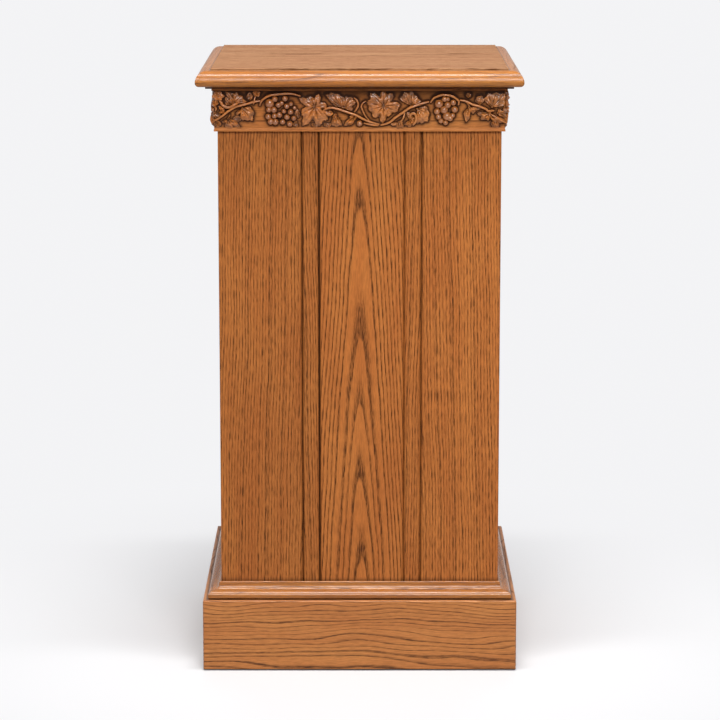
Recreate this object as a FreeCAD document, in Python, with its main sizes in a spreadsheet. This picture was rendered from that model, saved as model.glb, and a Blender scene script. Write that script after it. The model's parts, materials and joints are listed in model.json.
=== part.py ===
"""Square oak plant stand: a boarded column on a plinth, with a carved vine frieze under a moulded top.

The origin is at the middle of the footprint on the floor. +Z is up and the front looks along -Y.
All sizes are in millimetres.
"""
import FreeCAD
import Part
import Sketcher
import math
import os
import re

# Driving sizes
SIZES = {
    # Column: five tongued boards on each face, mitred at the corners
    "column_width": 359.2,
    "column_height": 751.0,
    "board_thickness": 18.0,
    "panel_width": 108.4,
    "panel_offset": 2.6,
    "strip_width": 21.8,
    "joint_gap": 0.8,
    "v_chamfer": 2.1,
    "tongue_length": 6.5,
    "tongue_thickness": 6.0,
    "tongue_clearance": 0.1,
    "tongue_end_gap": 0.5,
    "corner_ease": 0.8,
    # Posts, cleats and bottom board inside the column
    "post_width": 26.0,
    "cleat_width": 24.0,
    "bottom_recess": 12.0,
    "bottom_board_thickness": 9.0,
    "bottom_board_clearance": 0.4,
    # Plinth round the foot of the column
    "plinth_thickness": 23.4,
    "plinth_height": 92.4,
    "plinth_round": 2.0,
    "plinth_ease": 1.6,
    # Base moulding: lip, cove, ledge and bead
    "base_lip_width": 2.2,
    "base_lip_height": 1.4,
    "base_cove_radius": 6.6,
    "base_ledge_width": 1.0,
    "base_bead_radius": 7.2,
    "base_under_radius": 3.6,
    "base_foot_height": 1.6,
    # Frieze round the head of the column
    "frieze_height": 51.5,
    "frieze_ground_thickness": 3.2,
    "frieze_lip_thickness": 8.8,
    "frieze_lip_height": 2.0,
    "frieze_lip_drop": 0.8,
    "frieze_cant_height": 23.0,
    "frieze_band_thickness": 4.6,
    "frieze_band_height": 13.7,
    "frieze_band_face": 4.4,
    "carving_relief": 10.0,
    "leaf_relief": 4.6,
    "stem_radius": 1.9,
    # Top: a sub-top, a raised field and a mitred edging
    "sub_top_thickness": 6.0,
    "sub_top_overhang": 14.5,
    "field_overhang": 7.8,
    "field_step": 2.3,
    "field_round": 0.8,
    "edge_flat": 4.4,
    "nose_radius": 14.6,
    "under_radius": 5.4,
    "edge_tongue_length": 8.0,
    "edge_tongue_thickness": 6.0,
    "edge_tongue_height": 7.0,
    # Fasteners and glides
    "screw_diameter": 4.0,
    "screw_head_diameter": 8.0,
    "screw_head_height": 2.6,
    "screw_clearance": 0.15,
    "screw_end_gap": 0.5,
    "screw_bite": 13.0,
    "top_screw_inset": 35.6,
    "plinth_screw_inset": 9.6,
    "glide_height": 1.5,
    "glide_diameter": 20.0,
    "glide_nail_diameter": 2.6,
    "glide_nail_length": 16.0,
    # Run past the faces of every cut
    "overrun": 5.0,
}

# Sizes that follow from the driving ones
DERIVED = {
    "half_column": "column_width / 2",
    "half_inside": "half_column - board_thickness",
    "half_plinth": "half_column + plinth_thickness",
    "half_field": "half_column + field_overhang",
    "half_sub_top": "half_column + sub_top_overhang",
    "column_top": "glide_height + column_height",
    "plinth_top": "glide_height + plinth_height",
    "frieze_foot": "column_top - frieze_height",
    "top_foot": "column_top + sub_top_thickness",
    "edge_height": "nose_radius + under_radius",
    "edge_width": "edge_flat + nose_radius",
    "top_thickness": "edge_height + field_step",
    "stile_joint_left": "panel_offset - panel_width / 2 - strip_width",
    "panel_joint_left": "panel_offset - panel_width / 2",
    "panel_joint_right": "panel_offset + panel_width / 2",
    "stile_joint_right": "panel_offset + panel_width / 2 + strip_width",
    "groove_depth": "tongue_length - joint_gap + tongue_end_gap",
    "tongue_middle": "half_column - board_thickness / 2",
    "half_tongue": "tongue_thickness / 2",
    "half_groove": "half_tongue + tongue_clearance",
    "base_height": "base_foot_height + base_under_radius + base_bead_radius + base_cove_radius"
                   " + base_lip_height",
    "base_bead_centre": "base_lip_width + base_cove_radius + base_ledge_width",
    "base_width": "base_bead_centre + base_bead_radius",
    "cant_spread": "frieze_lip_thickness - frieze_lip_drop - frieze_ground_thickness",
    "screw_hole_radius": "screw_diameter / 2 + screw_clearance",
    "cleat_middle": "half_inside - cleat_width / 2",
    "post_middle": "half_inside - post_width / 2",
    "half_cleat_length": "half_inside - post_width",
    "top_screw_place": "half_cleat_length - top_screw_inset",
    "plinth_screw_place": "half_cleat_length - plinth_screw_inset",
    "bottom_cleat_foot": "glide_height + bottom_recess",
    "bottom_board_foot": "bottom_cleat_foot + cleat_width",
    "plinth_screw_height": "(bottom_board_foot + bottom_board_thickness + plinth_top) / 2",
}

SIDES = ("front", "right", "back", "left")
RIGHT_ANGLE = 90
FULL_TURN = 360
UP = FreeCAD.Vector(0, 0, 1)

# Carving: places along half the frieze and up its height, sizes as shares of its height
BROAD_LEAF_SHARES = (
    (-0.83, 0.83, 0.25, 100), (-0.76, 0.43, 0.23, 285), (-0.86, 0.25, 0.20, 250),
    (-0.30, 0.57, 0.40, 90), (-0.17, 0.78, 0.24, 115), (0.165, 0.64, 0.41, 90),
    (0.34, 0.82, 0.24, 80), (0.42, 0.40, 0.23, 280), (0.91, 0.79, 0.25, 20),
)
NARROW_LEAF_SHARES = (
    (-0.95, 0.73, 0.21, 110), (-0.95, 0.32, 0.20, 230), (-0.69, 0.90, 0.11, 90),
    (-0.06, 0.68, 0.20, 250), (-0.14, 0.29, 0.20, 240), (-0.04, 0.27, 0.15, 280),
    (0.29, 0.18, 0.12, 260), (0.34, 0.32, 0.21, 270), (0.76, 0.43, 0.24, 245),
    (0.80, 0.77, 0.13, 90), (0.83, 0.34, 0.17, 300), (0.91, 0.20, 0.13, 270), (0.95, 0.30, 0.18, 340),
)
GRAPE_SHARES = (
    (-0.60, 0.68, 0.105), (-0.57, 0.53, 0.085), (-0.61, 0.53, 0.07), (-0.61, 0.37, 0.075),
    (-0.57, 0.38, 0.07), (-0.54, 0.39, 0.075), (-0.59, 0.24, 0.08), (-0.56, 0.23, 0.08),
    (-0.57, 0.79, 0.075), (-0.50, 0.81, 0.07), (-0.54, 0.65, 0.07), (-0.49, 0.62, 0.07),
    (-0.46, 0.68, 0.06), (-0.43, 0.58, 0.055), (-0.51, 0.50, 0.06), (-0.46, 0.48, 0.07),
    (-0.49, 0.36, 0.075), (-0.44, 0.33, 0.065), (-0.515, 0.24, 0.07), (-0.465, 0.20, 0.075),
    (0.53, 0.67, 0.105), (0.57, 0.79, 0.07), (0.60, 0.79, 0.06), (0.63, 0.71, 0.07), (0.59, 0.65, 0.085),
    (0.52, 0.49, 0.08), (0.565, 0.53, 0.09), (0.635, 0.54, 0.08), (0.53, 0.36, 0.07), (0.585, 0.37, 0.10),
    (0.61, 0.31, 0.075), (0.545, 0.26, 0.065), (0.575, 0.21, 0.06), (0.625, 0.38, 0.065), (0.0, 0.20, 0.075),
)
STEM_SHARES = (
    ((-0.98, 0.18), (-0.89, 0.45), (-0.79, 0.66), (-0.67, 0.75), (-0.63, 0.86), (-0.57, 0.92),
     (-0.39, 0.87)),
    ((-0.24, 0.46), (-0.17, 0.58), (-0.05, 0.44), (0.02, 0.32), (0.13, 0.14)),
    ((0.13, 0.14), (0.21, 0.28), (0.29, 0.47), (0.41, 0.67), (0.50, 0.83), (0.55, 0.91), (0.63, 0.86),
     (0.66, 0.66)),
    ((0.67, 0.77), (0.80, 0.61), (0.90, 0.52)),
)
BROAD_LOBES = 5
NARROW_LOBES = 3
POINTS_TO_A_LOBE = 6
LOBE_ROUNDNESS = 0.7
LOBE_DEPTH_SHARE = 0.5
NARROW_WIDTH_SHARE = 0.62
LEAF_ROOT_SHARE = 0.5
LEAF_SHOULDER_SHARE = 0.5
LEAF_CROWN_SHARE = 0.5
GRAPE_STAND_SHARE = 0.35
STEM_STAND_SHARE = 0.6
STEM_KNUCKLE_SHARE = 1.15

doc = FreeCAD.newDocument("PlantStand")
sheet = doc.addObject("Spreadsheet::Sheet", "Sizes")
for row, (alias, number) in enumerate(SIZES.items(), start=1):
    sheet.set(f"A{row}", alias)
    sheet.set(f"B{row}", str(number))
    sheet.setAlias(f"B{row}", alias)
doc.recompute()

pieces = []


def bound(text):
    """Turn every size name of an expression into a reference to the sheet."""
    def reference(match):
        name = match.group()
        if name in DERIVED:
            return f"({bound(DERIVED[name])})"
        return f"Sizes.{name}" if name in SIZES else name
    return re.sub(r"[a-z_]+", reference, text)


def size(text):
    """Work out an expression of sizes, in millimetres."""
    return float(sheet.evalExpression(bound(text)))


def point(corner):
    """Work out a corner given as two expressions."""
    return FreeCAD.Vector(size(corner[0]), size(corner[1]), 0)


def new_body(label, quarter=0):
    """Start a piece, turned by quarters about the stand's upright axis."""
    body = doc.addObject("PartDesign::Body", label)
    body.Label = label
    body.Placement = FreeCAD.Placement(FreeCAD.Vector(), FreeCAD.Rotation(UP, quarter * RIGHT_ANGLE))
    pieces.append(body)
    return body


def origin_feature(body, role):
    """Find one of the body's own planes or axes."""
    return next(feature for feature in body.Origin.OriginFeatures if feature.Role == role)


def new_sketch(body, role, lift):
    """Start a sketch on one of the body's planes, lifted off it along its normal."""
    sketch = body.newObject("Sketcher::SketchObject", f"{body.Name}_sketch")
    sketch.AttachmentSupport = [(origin_feature(body, role), "")]
    sketch.MapMode = "FlatFace"
    sketch.setExpression("AttachmentOffset.Base.z", bound(lift))
    return sketch


def hold(sketch, kind, places, text):
    """Add one bound dimension to a sketch."""
    index = sketch.addConstraint(Sketcher.Constraint(kind, *places, size(text)))
    sketch.setExpression(f"Constraints[{index}]", bound(text))


def arc_between(start, end, radius, turn):
    """The short arc from start to end; turn is 1 to the left of the way and -1 to the right."""
    chord = end - start
    across = FreeCAD.Vector(-chord.y, chord.x, 0).normalize() * turn
    reach = math.sqrt(max(radius * radius - chord.Length * chord.Length / 4, 0))
    centre = (start + end) / 2 + across * reach
    middle = centre - across * radius
    ends = (start, end) if turn > 0 else (end, start)
    return Part.Arc(ends[0], middle, ends[1])


def add_loop(sketch, corners):
    """Draw a closed outline; a corner with a radius and a turn is reached by an arc."""
    runs = []
    for index, corner in enumerate(corners):
        start = point(corners[index - 1])
        end = point(corner)
        if len(corner) == 2:
            run = sketch.addGeometry(Part.LineSegment(start, end))
            runs.append((run, 1, 2))
            continue
        radius, turn = corner[2:]
        run = sketch.addGeometry(arc_between(start, end, size(radius), turn))
        runs.append((run, 1, 2) if turn > 0 else (run, 2, 1))
    for index, (run, _, last) in enumerate(runs):
        next_run, next_first, _ = runs[(index + 1) % len(runs)]
        sketch.addConstraint(Sketcher.Constraint("Coincident", run, last, next_run, next_first))
    for (run, _, last), corner in zip(runs, corners):
        hold(sketch, "DistanceX", (-1, 1, run, last), corner[0])
        hold(sketch, "DistanceY", (-1, 1, run, last), corner[1])
        if len(corner) > 2:
            hold(sketch, "Radius", (run,), corner[2])


def add_circle(sketch, centre, radius):
    """Draw a circle held by its centre and radius."""
    run = sketch.addGeometry(Part.Circle(point(centre), UP, size(radius)))
    hold(sketch, "DistanceX", (-1, 1, run, 3), centre[0])
    hold(sketch, "DistanceY", (-1, 1, run, 3), centre[1])
    hold(sketch, "Radius", (run,), radius)


def pad(body, corners, length, lift="0", role="XY_Plane", both_ways=False):
    """Add the outline's solid to the body."""
    sketch = new_sketch(body, role, lift)
    add_loop(sketch, corners)
    feature = body.newObject("PartDesign::Pad", f"{body.Name}_pad")
    feature.Profile = sketch
    feature.SideType = "Symmetric" if both_ways else "One side"
    feature.setExpression("Length", bound(length))
    return feature


def pocket(body, sketch, depth=None, along_normal=False):
    """Cut a sketch out of the body, right through both ways where no depth is given."""
    feature = body.newObject("PartDesign::Pocket", f"{body.Name}_pocket")
    feature.Profile = sketch
    if depth is None:
        feature.Type = "ThroughAll"
        feature.SideType = "Symmetric"
    else:
        feature.setExpression("Length", bound(depth))
        feature.Reversed = along_normal
    return feature


def drill(body, centres, radius, role="XY_Plane", lift="0", depth=None, along_normal=False):
    """Drill round holes of one radius."""
    sketch = new_sketch(body, role, lift)
    for centre in centres:
        add_circle(sketch, centre, radius)
    return pocket(body, sketch, depth, along_normal)


def mitre(body, half_length, ease=None):
    """Saw both ends of a piece at the front to forty-five degrees, easing the outer arris if asked."""
    sketch = new_sketch(body, "XY_Plane", "0")
    outside = f"{half_length} + overrun"
    inside = "half_inside - overrun"
    for sign in ("-", ""):
        corners = [(f"{sign}({outside})", f"-({outside})"), (f"{sign}({inside})", f"-({inside})"),
                   (f"{sign}({outside})", f"-({inside})")]
        if ease:
            corners = [(f"{sign}({half_length} - {ease})", f"-({outside})"),
                       (f"{sign}({half_length} - {ease})", f"-({half_length})"),
                       (f"{sign}({half_length} - {ease} / 2)", f"-({half_length} - {ease} / 2)"),
                       (f"{sign}({inside})", f"-({inside})"),
                       (f"{sign}({outside})", f"-({inside})"),
                       (f"{sign}({outside})", f"-({outside})")]
        add_loop(sketch, corners)
    return pocket(body, sketch)


def turned(body, feature, mirror=False):
    """Repeat a feature on the four sides, and first on both halves of the side if asked."""
    polar = body.newObject("PartDesign::PolarPattern", f"{body.Name}_sides")
    polar.Axis = (origin_feature(body, "Z_Axis"), [""])
    polar.Angle = FULL_TURN
    polar.Occurrences = len(SIDES)
    if not mirror:
        polar.Originals = [feature]
        body.Tip = polar
        return
    half = body.newObject("PartDesign::Mirrored", f"{body.Name}_halves")
    half.MirrorPlane = (origin_feature(body, "YZ_Plane"), [""])
    places = body.newObject("PartDesign::MultiTransform", f"{body.Name}_places")
    places.Originals = [feature]
    places.Transformations = [half, polar]
    body.Tip = places


def square(half):
    """The corners of a square about the upright axis."""
    return [(f"-({half})", f"-({half})"), (half, f"-({half})"), (half, half), (f"-({half})", half)]


def board_edge(kind, joint, sign):
    """The points of one edge of a face board from front to back; sign points into the board."""
    back = "-(half_inside)"
    if kind == "mitre":
        outer = "-" if sign == "+" else ""
        return [(f"{outer}(half_column - corner_ease)", "-(half_column)"),
                (f"{outer}(half_column - corner_ease / 2)", "-(half_column - corner_ease / 2)"),
                (f"{outer}(half_inside)", back)]
    edge = f"{joint} {sign} joint_gap / 2"
    away = "-" if sign == "+" else "+"
    half_key = "half_groove" if kind == "groove" else "half_tongue"
    tip = f"{edge} {sign} groove_depth" if kind == "groove" else f"{edge} {away} tongue_length"
    return [(f"{edge} {sign} v_chamfer", "-(half_column)"),
            (edge, "v_chamfer - half_column"),
            (edge, f"-(tongue_middle + {half_key})"),
            (tip, f"-(tongue_middle + {half_key})"),
            (tip, f"-(tongue_middle - {half_key})"),
            (edge, f"-(tongue_middle - {half_key})"),
            (edge, back)]


# Each face board with its left edge and its right edge
BOARDS = (
    ("stile_left", ("mitre", ""), ("groove", "stile_joint_left")),
    ("strip_left", ("tongue", "stile_joint_left"), ("groove", "panel_joint_left")),
    ("panel", ("tongue", "panel_joint_left"), ("tongue", "panel_joint_right")),
    ("strip_right", ("groove", "panel_joint_right"), ("tongue", "stile_joint_right")),
    ("stile_right", ("groove", "stile_joint_right"), ("mitre", "")),
)


def build_column(side, quarter):
    """The five upright boards of one face; the stiles are drilled for the plinth's screws."""
    for name, left, right in BOARDS:
        body = new_body(f"{side}_{name}", quarter)
        corners = board_edge(*right, "-") + board_edge(*left, "+")[::-1]
        pad(body, corners, "column_height", lift="glide_height")
        if name.startswith("stile"):
            sign = "-" if name == "stile_left" else ""
            centre = (f"{sign}plinth_screw_place", "plinth_screw_height")
            drill(body, [centre], "screw_hole_radius", role="XZ_Plane")


def build_post(side, quarter):
    """The upright post in the corner at the left end of a face, drilled below for a glide's nail."""
    body = new_body(f"{side}_corner_post", quarter)
    corners = [("-(half_inside)", "-(half_inside)"), ("post_width - half_inside", "-(half_inside)"),
               ("post_width - half_inside", "post_width - half_inside"),
               ("-(half_inside)", "post_width - half_inside")]
    pad(body, corners, "column_height", lift="glide_height")
    drill(body, [("-(post_middle)", "-(post_middle)")], "glide_nail_diameter / 2 + screw_clearance",
          lift="glide_height", depth="glide_nail_length + screw_end_gap", along_normal=True)


def build_cleats(side, quarter):
    """The cleats between the posts: one under the sub-top and one under the bottom board."""
    corners = [("-(half_cleat_length)", "-(half_inside)"), ("half_cleat_length", "-(half_inside)"),
               ("half_cleat_length", "cleat_width - half_inside"),
               ("-(half_cleat_length)", "cleat_width - half_inside")]
    upper = new_body(f"{side}_top_cleat", quarter)
    pad(upper, corners, "cleat_width", lift="column_top - cleat_width")
    places = [("-top_screw_place", "-(cleat_middle)"), ("top_screw_place", "-(cleat_middle)")]
    drill(upper, places, "screw_hole_radius")
    lower = new_body(f"{side}_bottom_cleat", quarter)
    pad(lower, corners, "cleat_width", lift="bottom_cleat_foot")


def build_plinth(side, quarter):
    """A mitred plinth board with a rounded top arris, bored behind for its two screws."""
    body = new_body(f"{side}_plinth", quarter)
    corners = [("-(half_column)", "glide_height"), ("-(half_column)", "plinth_top"),
               ("plinth_round - half_plinth", "plinth_top"),
               ("-(half_plinth)", "plinth_top - plinth_round", "plinth_round", 1),
               ("-(half_plinth)", "glide_height")]
    pad(body, corners, "2 * half_plinth", role="YZ_Plane", both_ways=True)
    mitre(body, "half_plinth", "plinth_ease")
    places = [("-plinth_screw_place", "plinth_screw_height"), ("plinth_screw_place", "plinth_screw_height")]
    drill(body, places, "screw_hole_radius", role="XZ_Plane", lift="half_column",
          depth="screw_bite + screw_end_gap", along_normal=True)


def build_base_moulding(side, quarter):
    """The mitred moulding on top of the plinth: bead below, cove above."""
    body = new_body(f"{side}_base_moulding", quarter)
    bead_middle = "plinth_top + base_foot_height + base_under_radius"
    cove_foot = f"{bead_middle} + base_bead_radius"
    lip_foot = f"{cove_foot} + base_cove_radius"
    corners = [("-(half_column)", "plinth_top"),
               ("-(half_column)", "plinth_top + base_height"),
               ("-(half_column + base_lip_width)", "plinth_top + base_height"),
               ("-(half_column + base_lip_width)", lip_foot),
               ("-(half_column + base_lip_width + base_cove_radius)", cove_foot, "base_cove_radius", -1),
               ("-(half_column + base_bead_centre)", cove_foot),
               ("-(half_column + base_width)", bead_middle, "base_bead_radius", 1),
               ("-(half_column + base_width - base_under_radius)", "plinth_top + base_foot_height",
                "base_under_radius", 1),
               ("-(half_column + base_width - base_under_radius)", "plinth_top")]
    pad(body, corners, "2 * (half_column + base_width)", role="YZ_Plane", both_ways=True)
    mitre(body, "half_column + base_width")


def frieze_board():
    """The uncut frieze board of the front: a sloped band, a ground that cants out, and a thin lip."""
    body = doc.addObject("PartDesign::Body", "frieze_board")
    cant_foot = "column_top - frieze_lip_height - frieze_cant_height"
    corners = [("-(half_column)", "frieze_foot"),
               ("-(half_column)", "column_top"),
               ("-(half_column + frieze_lip_thickness)", "column_top"),
               ("-(half_column + frieze_lip_thickness)", "column_top - frieze_lip_height"),
               ("-(half_column + frieze_lip_thickness - frieze_lip_drop)", "column_top - frieze_lip_height"),
               ("-(half_column + frieze_ground_thickness)", cant_foot),
               ("-(half_column + frieze_ground_thickness)", "frieze_foot + frieze_band_height"),
               ("-(half_column + frieze_band_thickness)", "frieze_foot + frieze_band_face"),
               ("-(half_column + frieze_band_thickness)", "frieze_foot")]
    pad(body, corners, "2 * (half_column + carving_relief)", role="YZ_Plane", both_ways=True)
    doc.recompute()
    return body.Shape


def carving_place(along_share, up_share, out=0):
    """A place on the frieze, from shares of its length and height, standing out of its ground."""
    half_length = size("half_column + frieze_lip_thickness")
    rise = up_share * size("frieze_height")
    cant_share = (rise - size("frieze_height - frieze_lip_height")) / size("frieze_cant_height") + 1
    cant_share = min(max(cant_share, 0), 1)
    ground = size("frieze_ground_thickness") + cant_share * size("cant_spread")
    return FreeCAD.Vector(along_share * half_length, -size("half_column") - ground - out,
                          size("frieze_foot") + rise)


def leaf_wire(centre, reach, heading, lobes, width_share):
    """A lobed leaf outline in an upright plane, its tip along the heading in degrees."""
    count = lobes * POINTS_TO_A_LOBE
    turn = FreeCAD.Rotation(FreeCAD.Vector(0, -1, 0), heading)
    corners = []
    for step in range(count):
        angle = 2 * math.pi * step / count
        swell = abs(math.cos(lobes * angle / 2)) ** LOBE_ROUNDNESS
        radius = reach * (1 - LOBE_DEPTH_SHARE + LOBE_DEPTH_SHARE * swell)
        corner = FreeCAD.Vector(radius * math.cos(angle), 0, radius * math.sin(angle) * width_share)
        corners.append(centre + turn.multVec(corner))
    return Part.makePolygon(corners + corners[:1])


def carved_leaves():
    """The leaves, each a lobed solid with upright sides that narrows to a crown."""
    kinds = ((BROAD_LEAF_SHARES, BROAD_LOBES, 1), (NARROW_LEAF_SHARES, NARROW_LOBES, NARROW_WIDTH_SHARE))
    relief = size("leaf_relief")
    root = size("half_column") + size("frieze_ground_thickness") * LEAF_ROOT_SHARE
    leaves = []
    for shares, lobes, width_share in kinds:
        for along_share, up_share, reach_share, heading in shares:
            reach = reach_share * size("frieze_height")
            crown = carving_place(along_share, up_share, relief)
            shoulder = carving_place(along_share, up_share, relief * LEAF_SHOULDER_SHARE)
            foot = FreeCAD.Vector(crown.x, -root, crown.z)
            rings = ((foot, 1), (shoulder, 1), (crown, LEAF_CROWN_SHARE))
            wires = [leaf_wire(centre, reach * share, heading, lobes, width_share) for centre, share in rings]
            leaves.append(Part.makeLoft(wires, True, True))
    return leaves


def carved_grapes():
    """The grapes, balls that stand out of the ground."""
    outward = FreeCAD.Vector(0, -1, 0)
    grapes = []
    for along_share, up_share, radius_share in GRAPE_SHARES:
        radius = radius_share * size("frieze_height")
        centre = carving_place(along_share, up_share, radius * GRAPE_STAND_SHARE)
        grapes.append(Part.makeSphere(radius, centre, outward))
    return grapes


def carved_stems():
    """The stems, straight runs with a knuckle at every bend, half sunk in the ground."""
    outward = FreeCAD.Vector(0, -1, 0)
    radius = size("stem_radius")
    runs = []
    for shares in STEM_SHARES:
        bends = [carving_place(*share, radius * STEM_STAND_SHARE) for share in shares]
        for start, end in zip(bends, bends[1:]):
            runs.append(Part.makeCylinder(radius, (end - start).Length, start, end - start))
        runs += [Part.makeSphere(radius * STEM_KNUCKLE_SHARE, bend, outward) for bend in bends]
    return runs


def frieze_space():
    """The room of the front frieze: its height, mitred at both ends, out to the full relief."""
    near = size("half_column")
    far = near + size("carving_relief")
    plan = [(-near, -near), (near, -near), (far, -far), (-far, -far), (-near, -near)]
    outline = Part.makePolygon([FreeCAD.Vector(x, y, size("frieze_foot")) for x, y in plan])
    return Part.Face(outline).extrude(UP * size("frieze_height"))


def build_friezes():
    """The frieze of each side, its vine carved from the board and its ends mitred."""
    vine = carved_leaves() + carved_grapes() + carved_stems()
    carved = frieze_board().multiFuse(vine).common(frieze_space())
    for quarter, side in enumerate(SIDES):
        frieze = doc.addObject("Part::Feature", f"{side}_frieze")
        frieze.Label = f"{side}_frieze"
        frieze.Shape = carved
        frieze.Placement = FreeCAD.Placement(FreeCAD.Vector(), FreeCAD.Rotation(UP, quarter * RIGHT_ANGLE))
        pieces.append(frieze)


def build_sub_top():
    """The board that closes the column, drilled for the top's screws."""
    body = new_body("sub_top")
    pad(body, square("half_sub_top"), "sub_top_thickness", lift="column_top")
    holes = drill(body, [("-top_screw_place", "-(cleat_middle)"), ("top_screw_place", "-(cleat_middle)")],
                  "screw_hole_radius")
    turned(body, holes)


def build_top_panel():
    """The raised field, tongued all round, with its arris rounded and bored below for screws."""
    body = new_body("top_panel")
    field = pad(body, square("half_field"), "top_thickness", lift="top_foot")
    doc.recompute()
    rim = [f"Edge{index}" for index, edge in enumerate(field.Shape.Edges, start=1)
           if abs(edge.CenterOfMass.z - field.Shape.BoundBox.ZMax) < field.Shape.BoundBox.ZLength / 4]
    arris = body.newObject("PartDesign::Fillet", "top_panel_arris")
    arris.Base = (field, rim)
    arris.setExpression("Radius", bound("field_round"))
    pad(body, square("half_field + edge_tongue_length"), "edge_tongue_thickness",
        lift="top_foot + edge_tongue_height")
    holes = drill(body, [("-top_screw_place", "-(cleat_middle)"), ("top_screw_place", "-(cleat_middle)")],
                  "screw_hole_radius", lift="top_foot", depth="screw_bite + screw_end_gap", along_normal=True)
    turned(body, holes)


def build_top_edge(side, quarter):
    """The mitred edging of the top: a flat, a large round above and a small one below."""
    body = new_body(f"{side}_top_edge", quarter)
    groove_foot = "top_foot + edge_tongue_height - tongue_clearance"
    groove_head = "top_foot + edge_tongue_height + edge_tongue_thickness + tongue_clearance"
    groove_end = "-(half_field + edge_tongue_length + tongue_end_gap)"
    corners = [("-(half_field)", "top_foot"), ("-(half_field)", groove_foot), (groove_end, groove_foot),
               (groove_end, groove_head), ("-(half_field)", groove_head),
               ("-(half_field)", "top_foot + edge_height"),
               ("-(half_field + edge_flat)", "top_foot + edge_height"),
               ("-(half_field + edge_width)", "top_foot + under_radius", "nose_radius", 1),
               ("-(half_field + edge_width - under_radius)", "top_foot", "under_radius", 1)]
    pad(body, corners, "2 * (half_field + edge_width)", role="YZ_Plane", both_ways=True)
    mitre(body, "half_field + edge_width")


def build_bottom_board():
    """The board that closes the column below, notched round the posts."""
    body = new_body("bottom_board")
    far = "half_inside - bottom_board_clearance"
    near = "half_inside - post_width - bottom_board_clearance"
    corners = [(f"-({near})", f"-({far})"), (near, f"-({far})"), (near, f"-({near})"),
               (far, f"-({near})"), (far, near), (near, near), (near, far), (f"-({near})", far),
               (f"-({near})", near), (f"-({far})", near), (f"-({far})", f"-({near})"),
               (f"-({near})", f"-({near})")]
    pad(body, corners, "bottom_board_thickness", lift="bottom_board_foot")


def revolve(body, corners, role, lift):
    """Turn an outline about the run that closes it."""
    sketch = new_sketch(body, role, lift)
    add_loop(sketch, corners)
    feature = body.newObject("PartDesign::Revolution", f"{body.Name}_turned")
    feature.Profile = sketch
    feature.ReferenceAxis = (sketch, ["Edge1"])
    feature.Angle = FULL_TURN
    return feature


def build_top_screws():
    """The screws through the top cleats and the sub-top into the field."""
    body = new_body("top_screws")
    axis = "top_screw_place"
    seat = "column_top - cleat_width"
    corners = [(axis, f"{seat} - screw_head_height"),
               (f"{axis} + screw_head_diameter / 2", f"{seat} - screw_head_height"),
               (f"{axis} + screw_head_diameter / 2", seat), (f"{axis} + screw_diameter / 2", seat),
               (f"{axis} + screw_diameter / 2", "top_foot + screw_bite - screw_diameter / 2"),
               (axis, "top_foot + screw_bite")]
    turned(body, revolve(body, corners, "XZ_Plane", "cleat_middle"), mirror=True)


def build_plinth_screws():
    """The screws from inside the column through the stiles into the plinth."""
    body = new_body("plinth_screws")
    axis = "plinth_screw_height"
    point_end = "half_column + screw_bite"
    corners = [("screw_head_height - half_inside", axis),
               ("screw_head_height - half_inside", f"{axis} + screw_head_diameter / 2"),
               ("-(half_inside)", f"{axis} + screw_head_diameter / 2"),
               ("-(half_inside)", f"{axis} + screw_diameter / 2"),
               (f"screw_diameter / 2 - ({point_end})", f"{axis} + screw_diameter / 2"),
               (f"-({point_end})", axis)]
    turned(body, revolve(body, corners, "YZ_Plane", "plinth_screw_place"), mirror=True)


def build_glides():
    """The four nail-on glides under the posts."""
    body = new_body("glides")
    axis = "post_middle"
    nail_head = "glide_height + glide_nail_length"
    corners = [(axis, "0"), (f"{axis} + glide_diameter / 2", "0"),
               (f"{axis} + glide_diameter / 2", "glide_height"),
               (f"{axis} + glide_nail_diameter / 2", "glide_height"),
               (f"{axis} + glide_nail_diameter / 2", f"{nail_head} - glide_nail_diameter"),
               (axis, nail_head)]
    turned(body, revolve(body, corners, "XZ_Plane", "post_middle"))


def check_document():
    """Stop if any object of the document failed or any piece has no sound shape."""
    for item in doc.Objects:
        if "Invalid" in item.State or "Error" in item.State:
            raise RuntimeError(f"{item.Label} failed: {item.State}")
    for piece in pieces:
        if piece.Shape.isNull() or not piece.Shape.isValid() or not piece.Shape.Solids:
            raise RuntimeError(f"{piece.Label} has no sound shape")


for turn_count, side_name in enumerate(SIDES):
    build_column(side_name, turn_count)
    build_post(side_name, turn_count)
    build_cleats(side_name, turn_count)
    build_plinth(side_name, turn_count)
    build_base_moulding(side_name, turn_count)
    build_top_edge(side_name, turn_count)
build_friezes()
build_sub_top()
build_top_panel()
build_bottom_board()
build_top_screws()
build_plinth_screws()
build_glides()
doc.recompute()
check_document()
os.makedirs("parts", exist_ok=True)
for piece in pieces:
    piece.Shape.exportStep(f"parts/{piece.Label}.step")
    print(piece.Label, len(piece.Shape.Solids), round(piece.Shape.Volume))
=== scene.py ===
"""Looks of a square oak plant stand with a carved grapevine frieze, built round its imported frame."""
import json
import math
from collections import namedtuple

import bmesh
import bpy
import numpy as np
from mathutils import Matrix, Vector, noise
from mathutils.kdtree import KDTree

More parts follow.
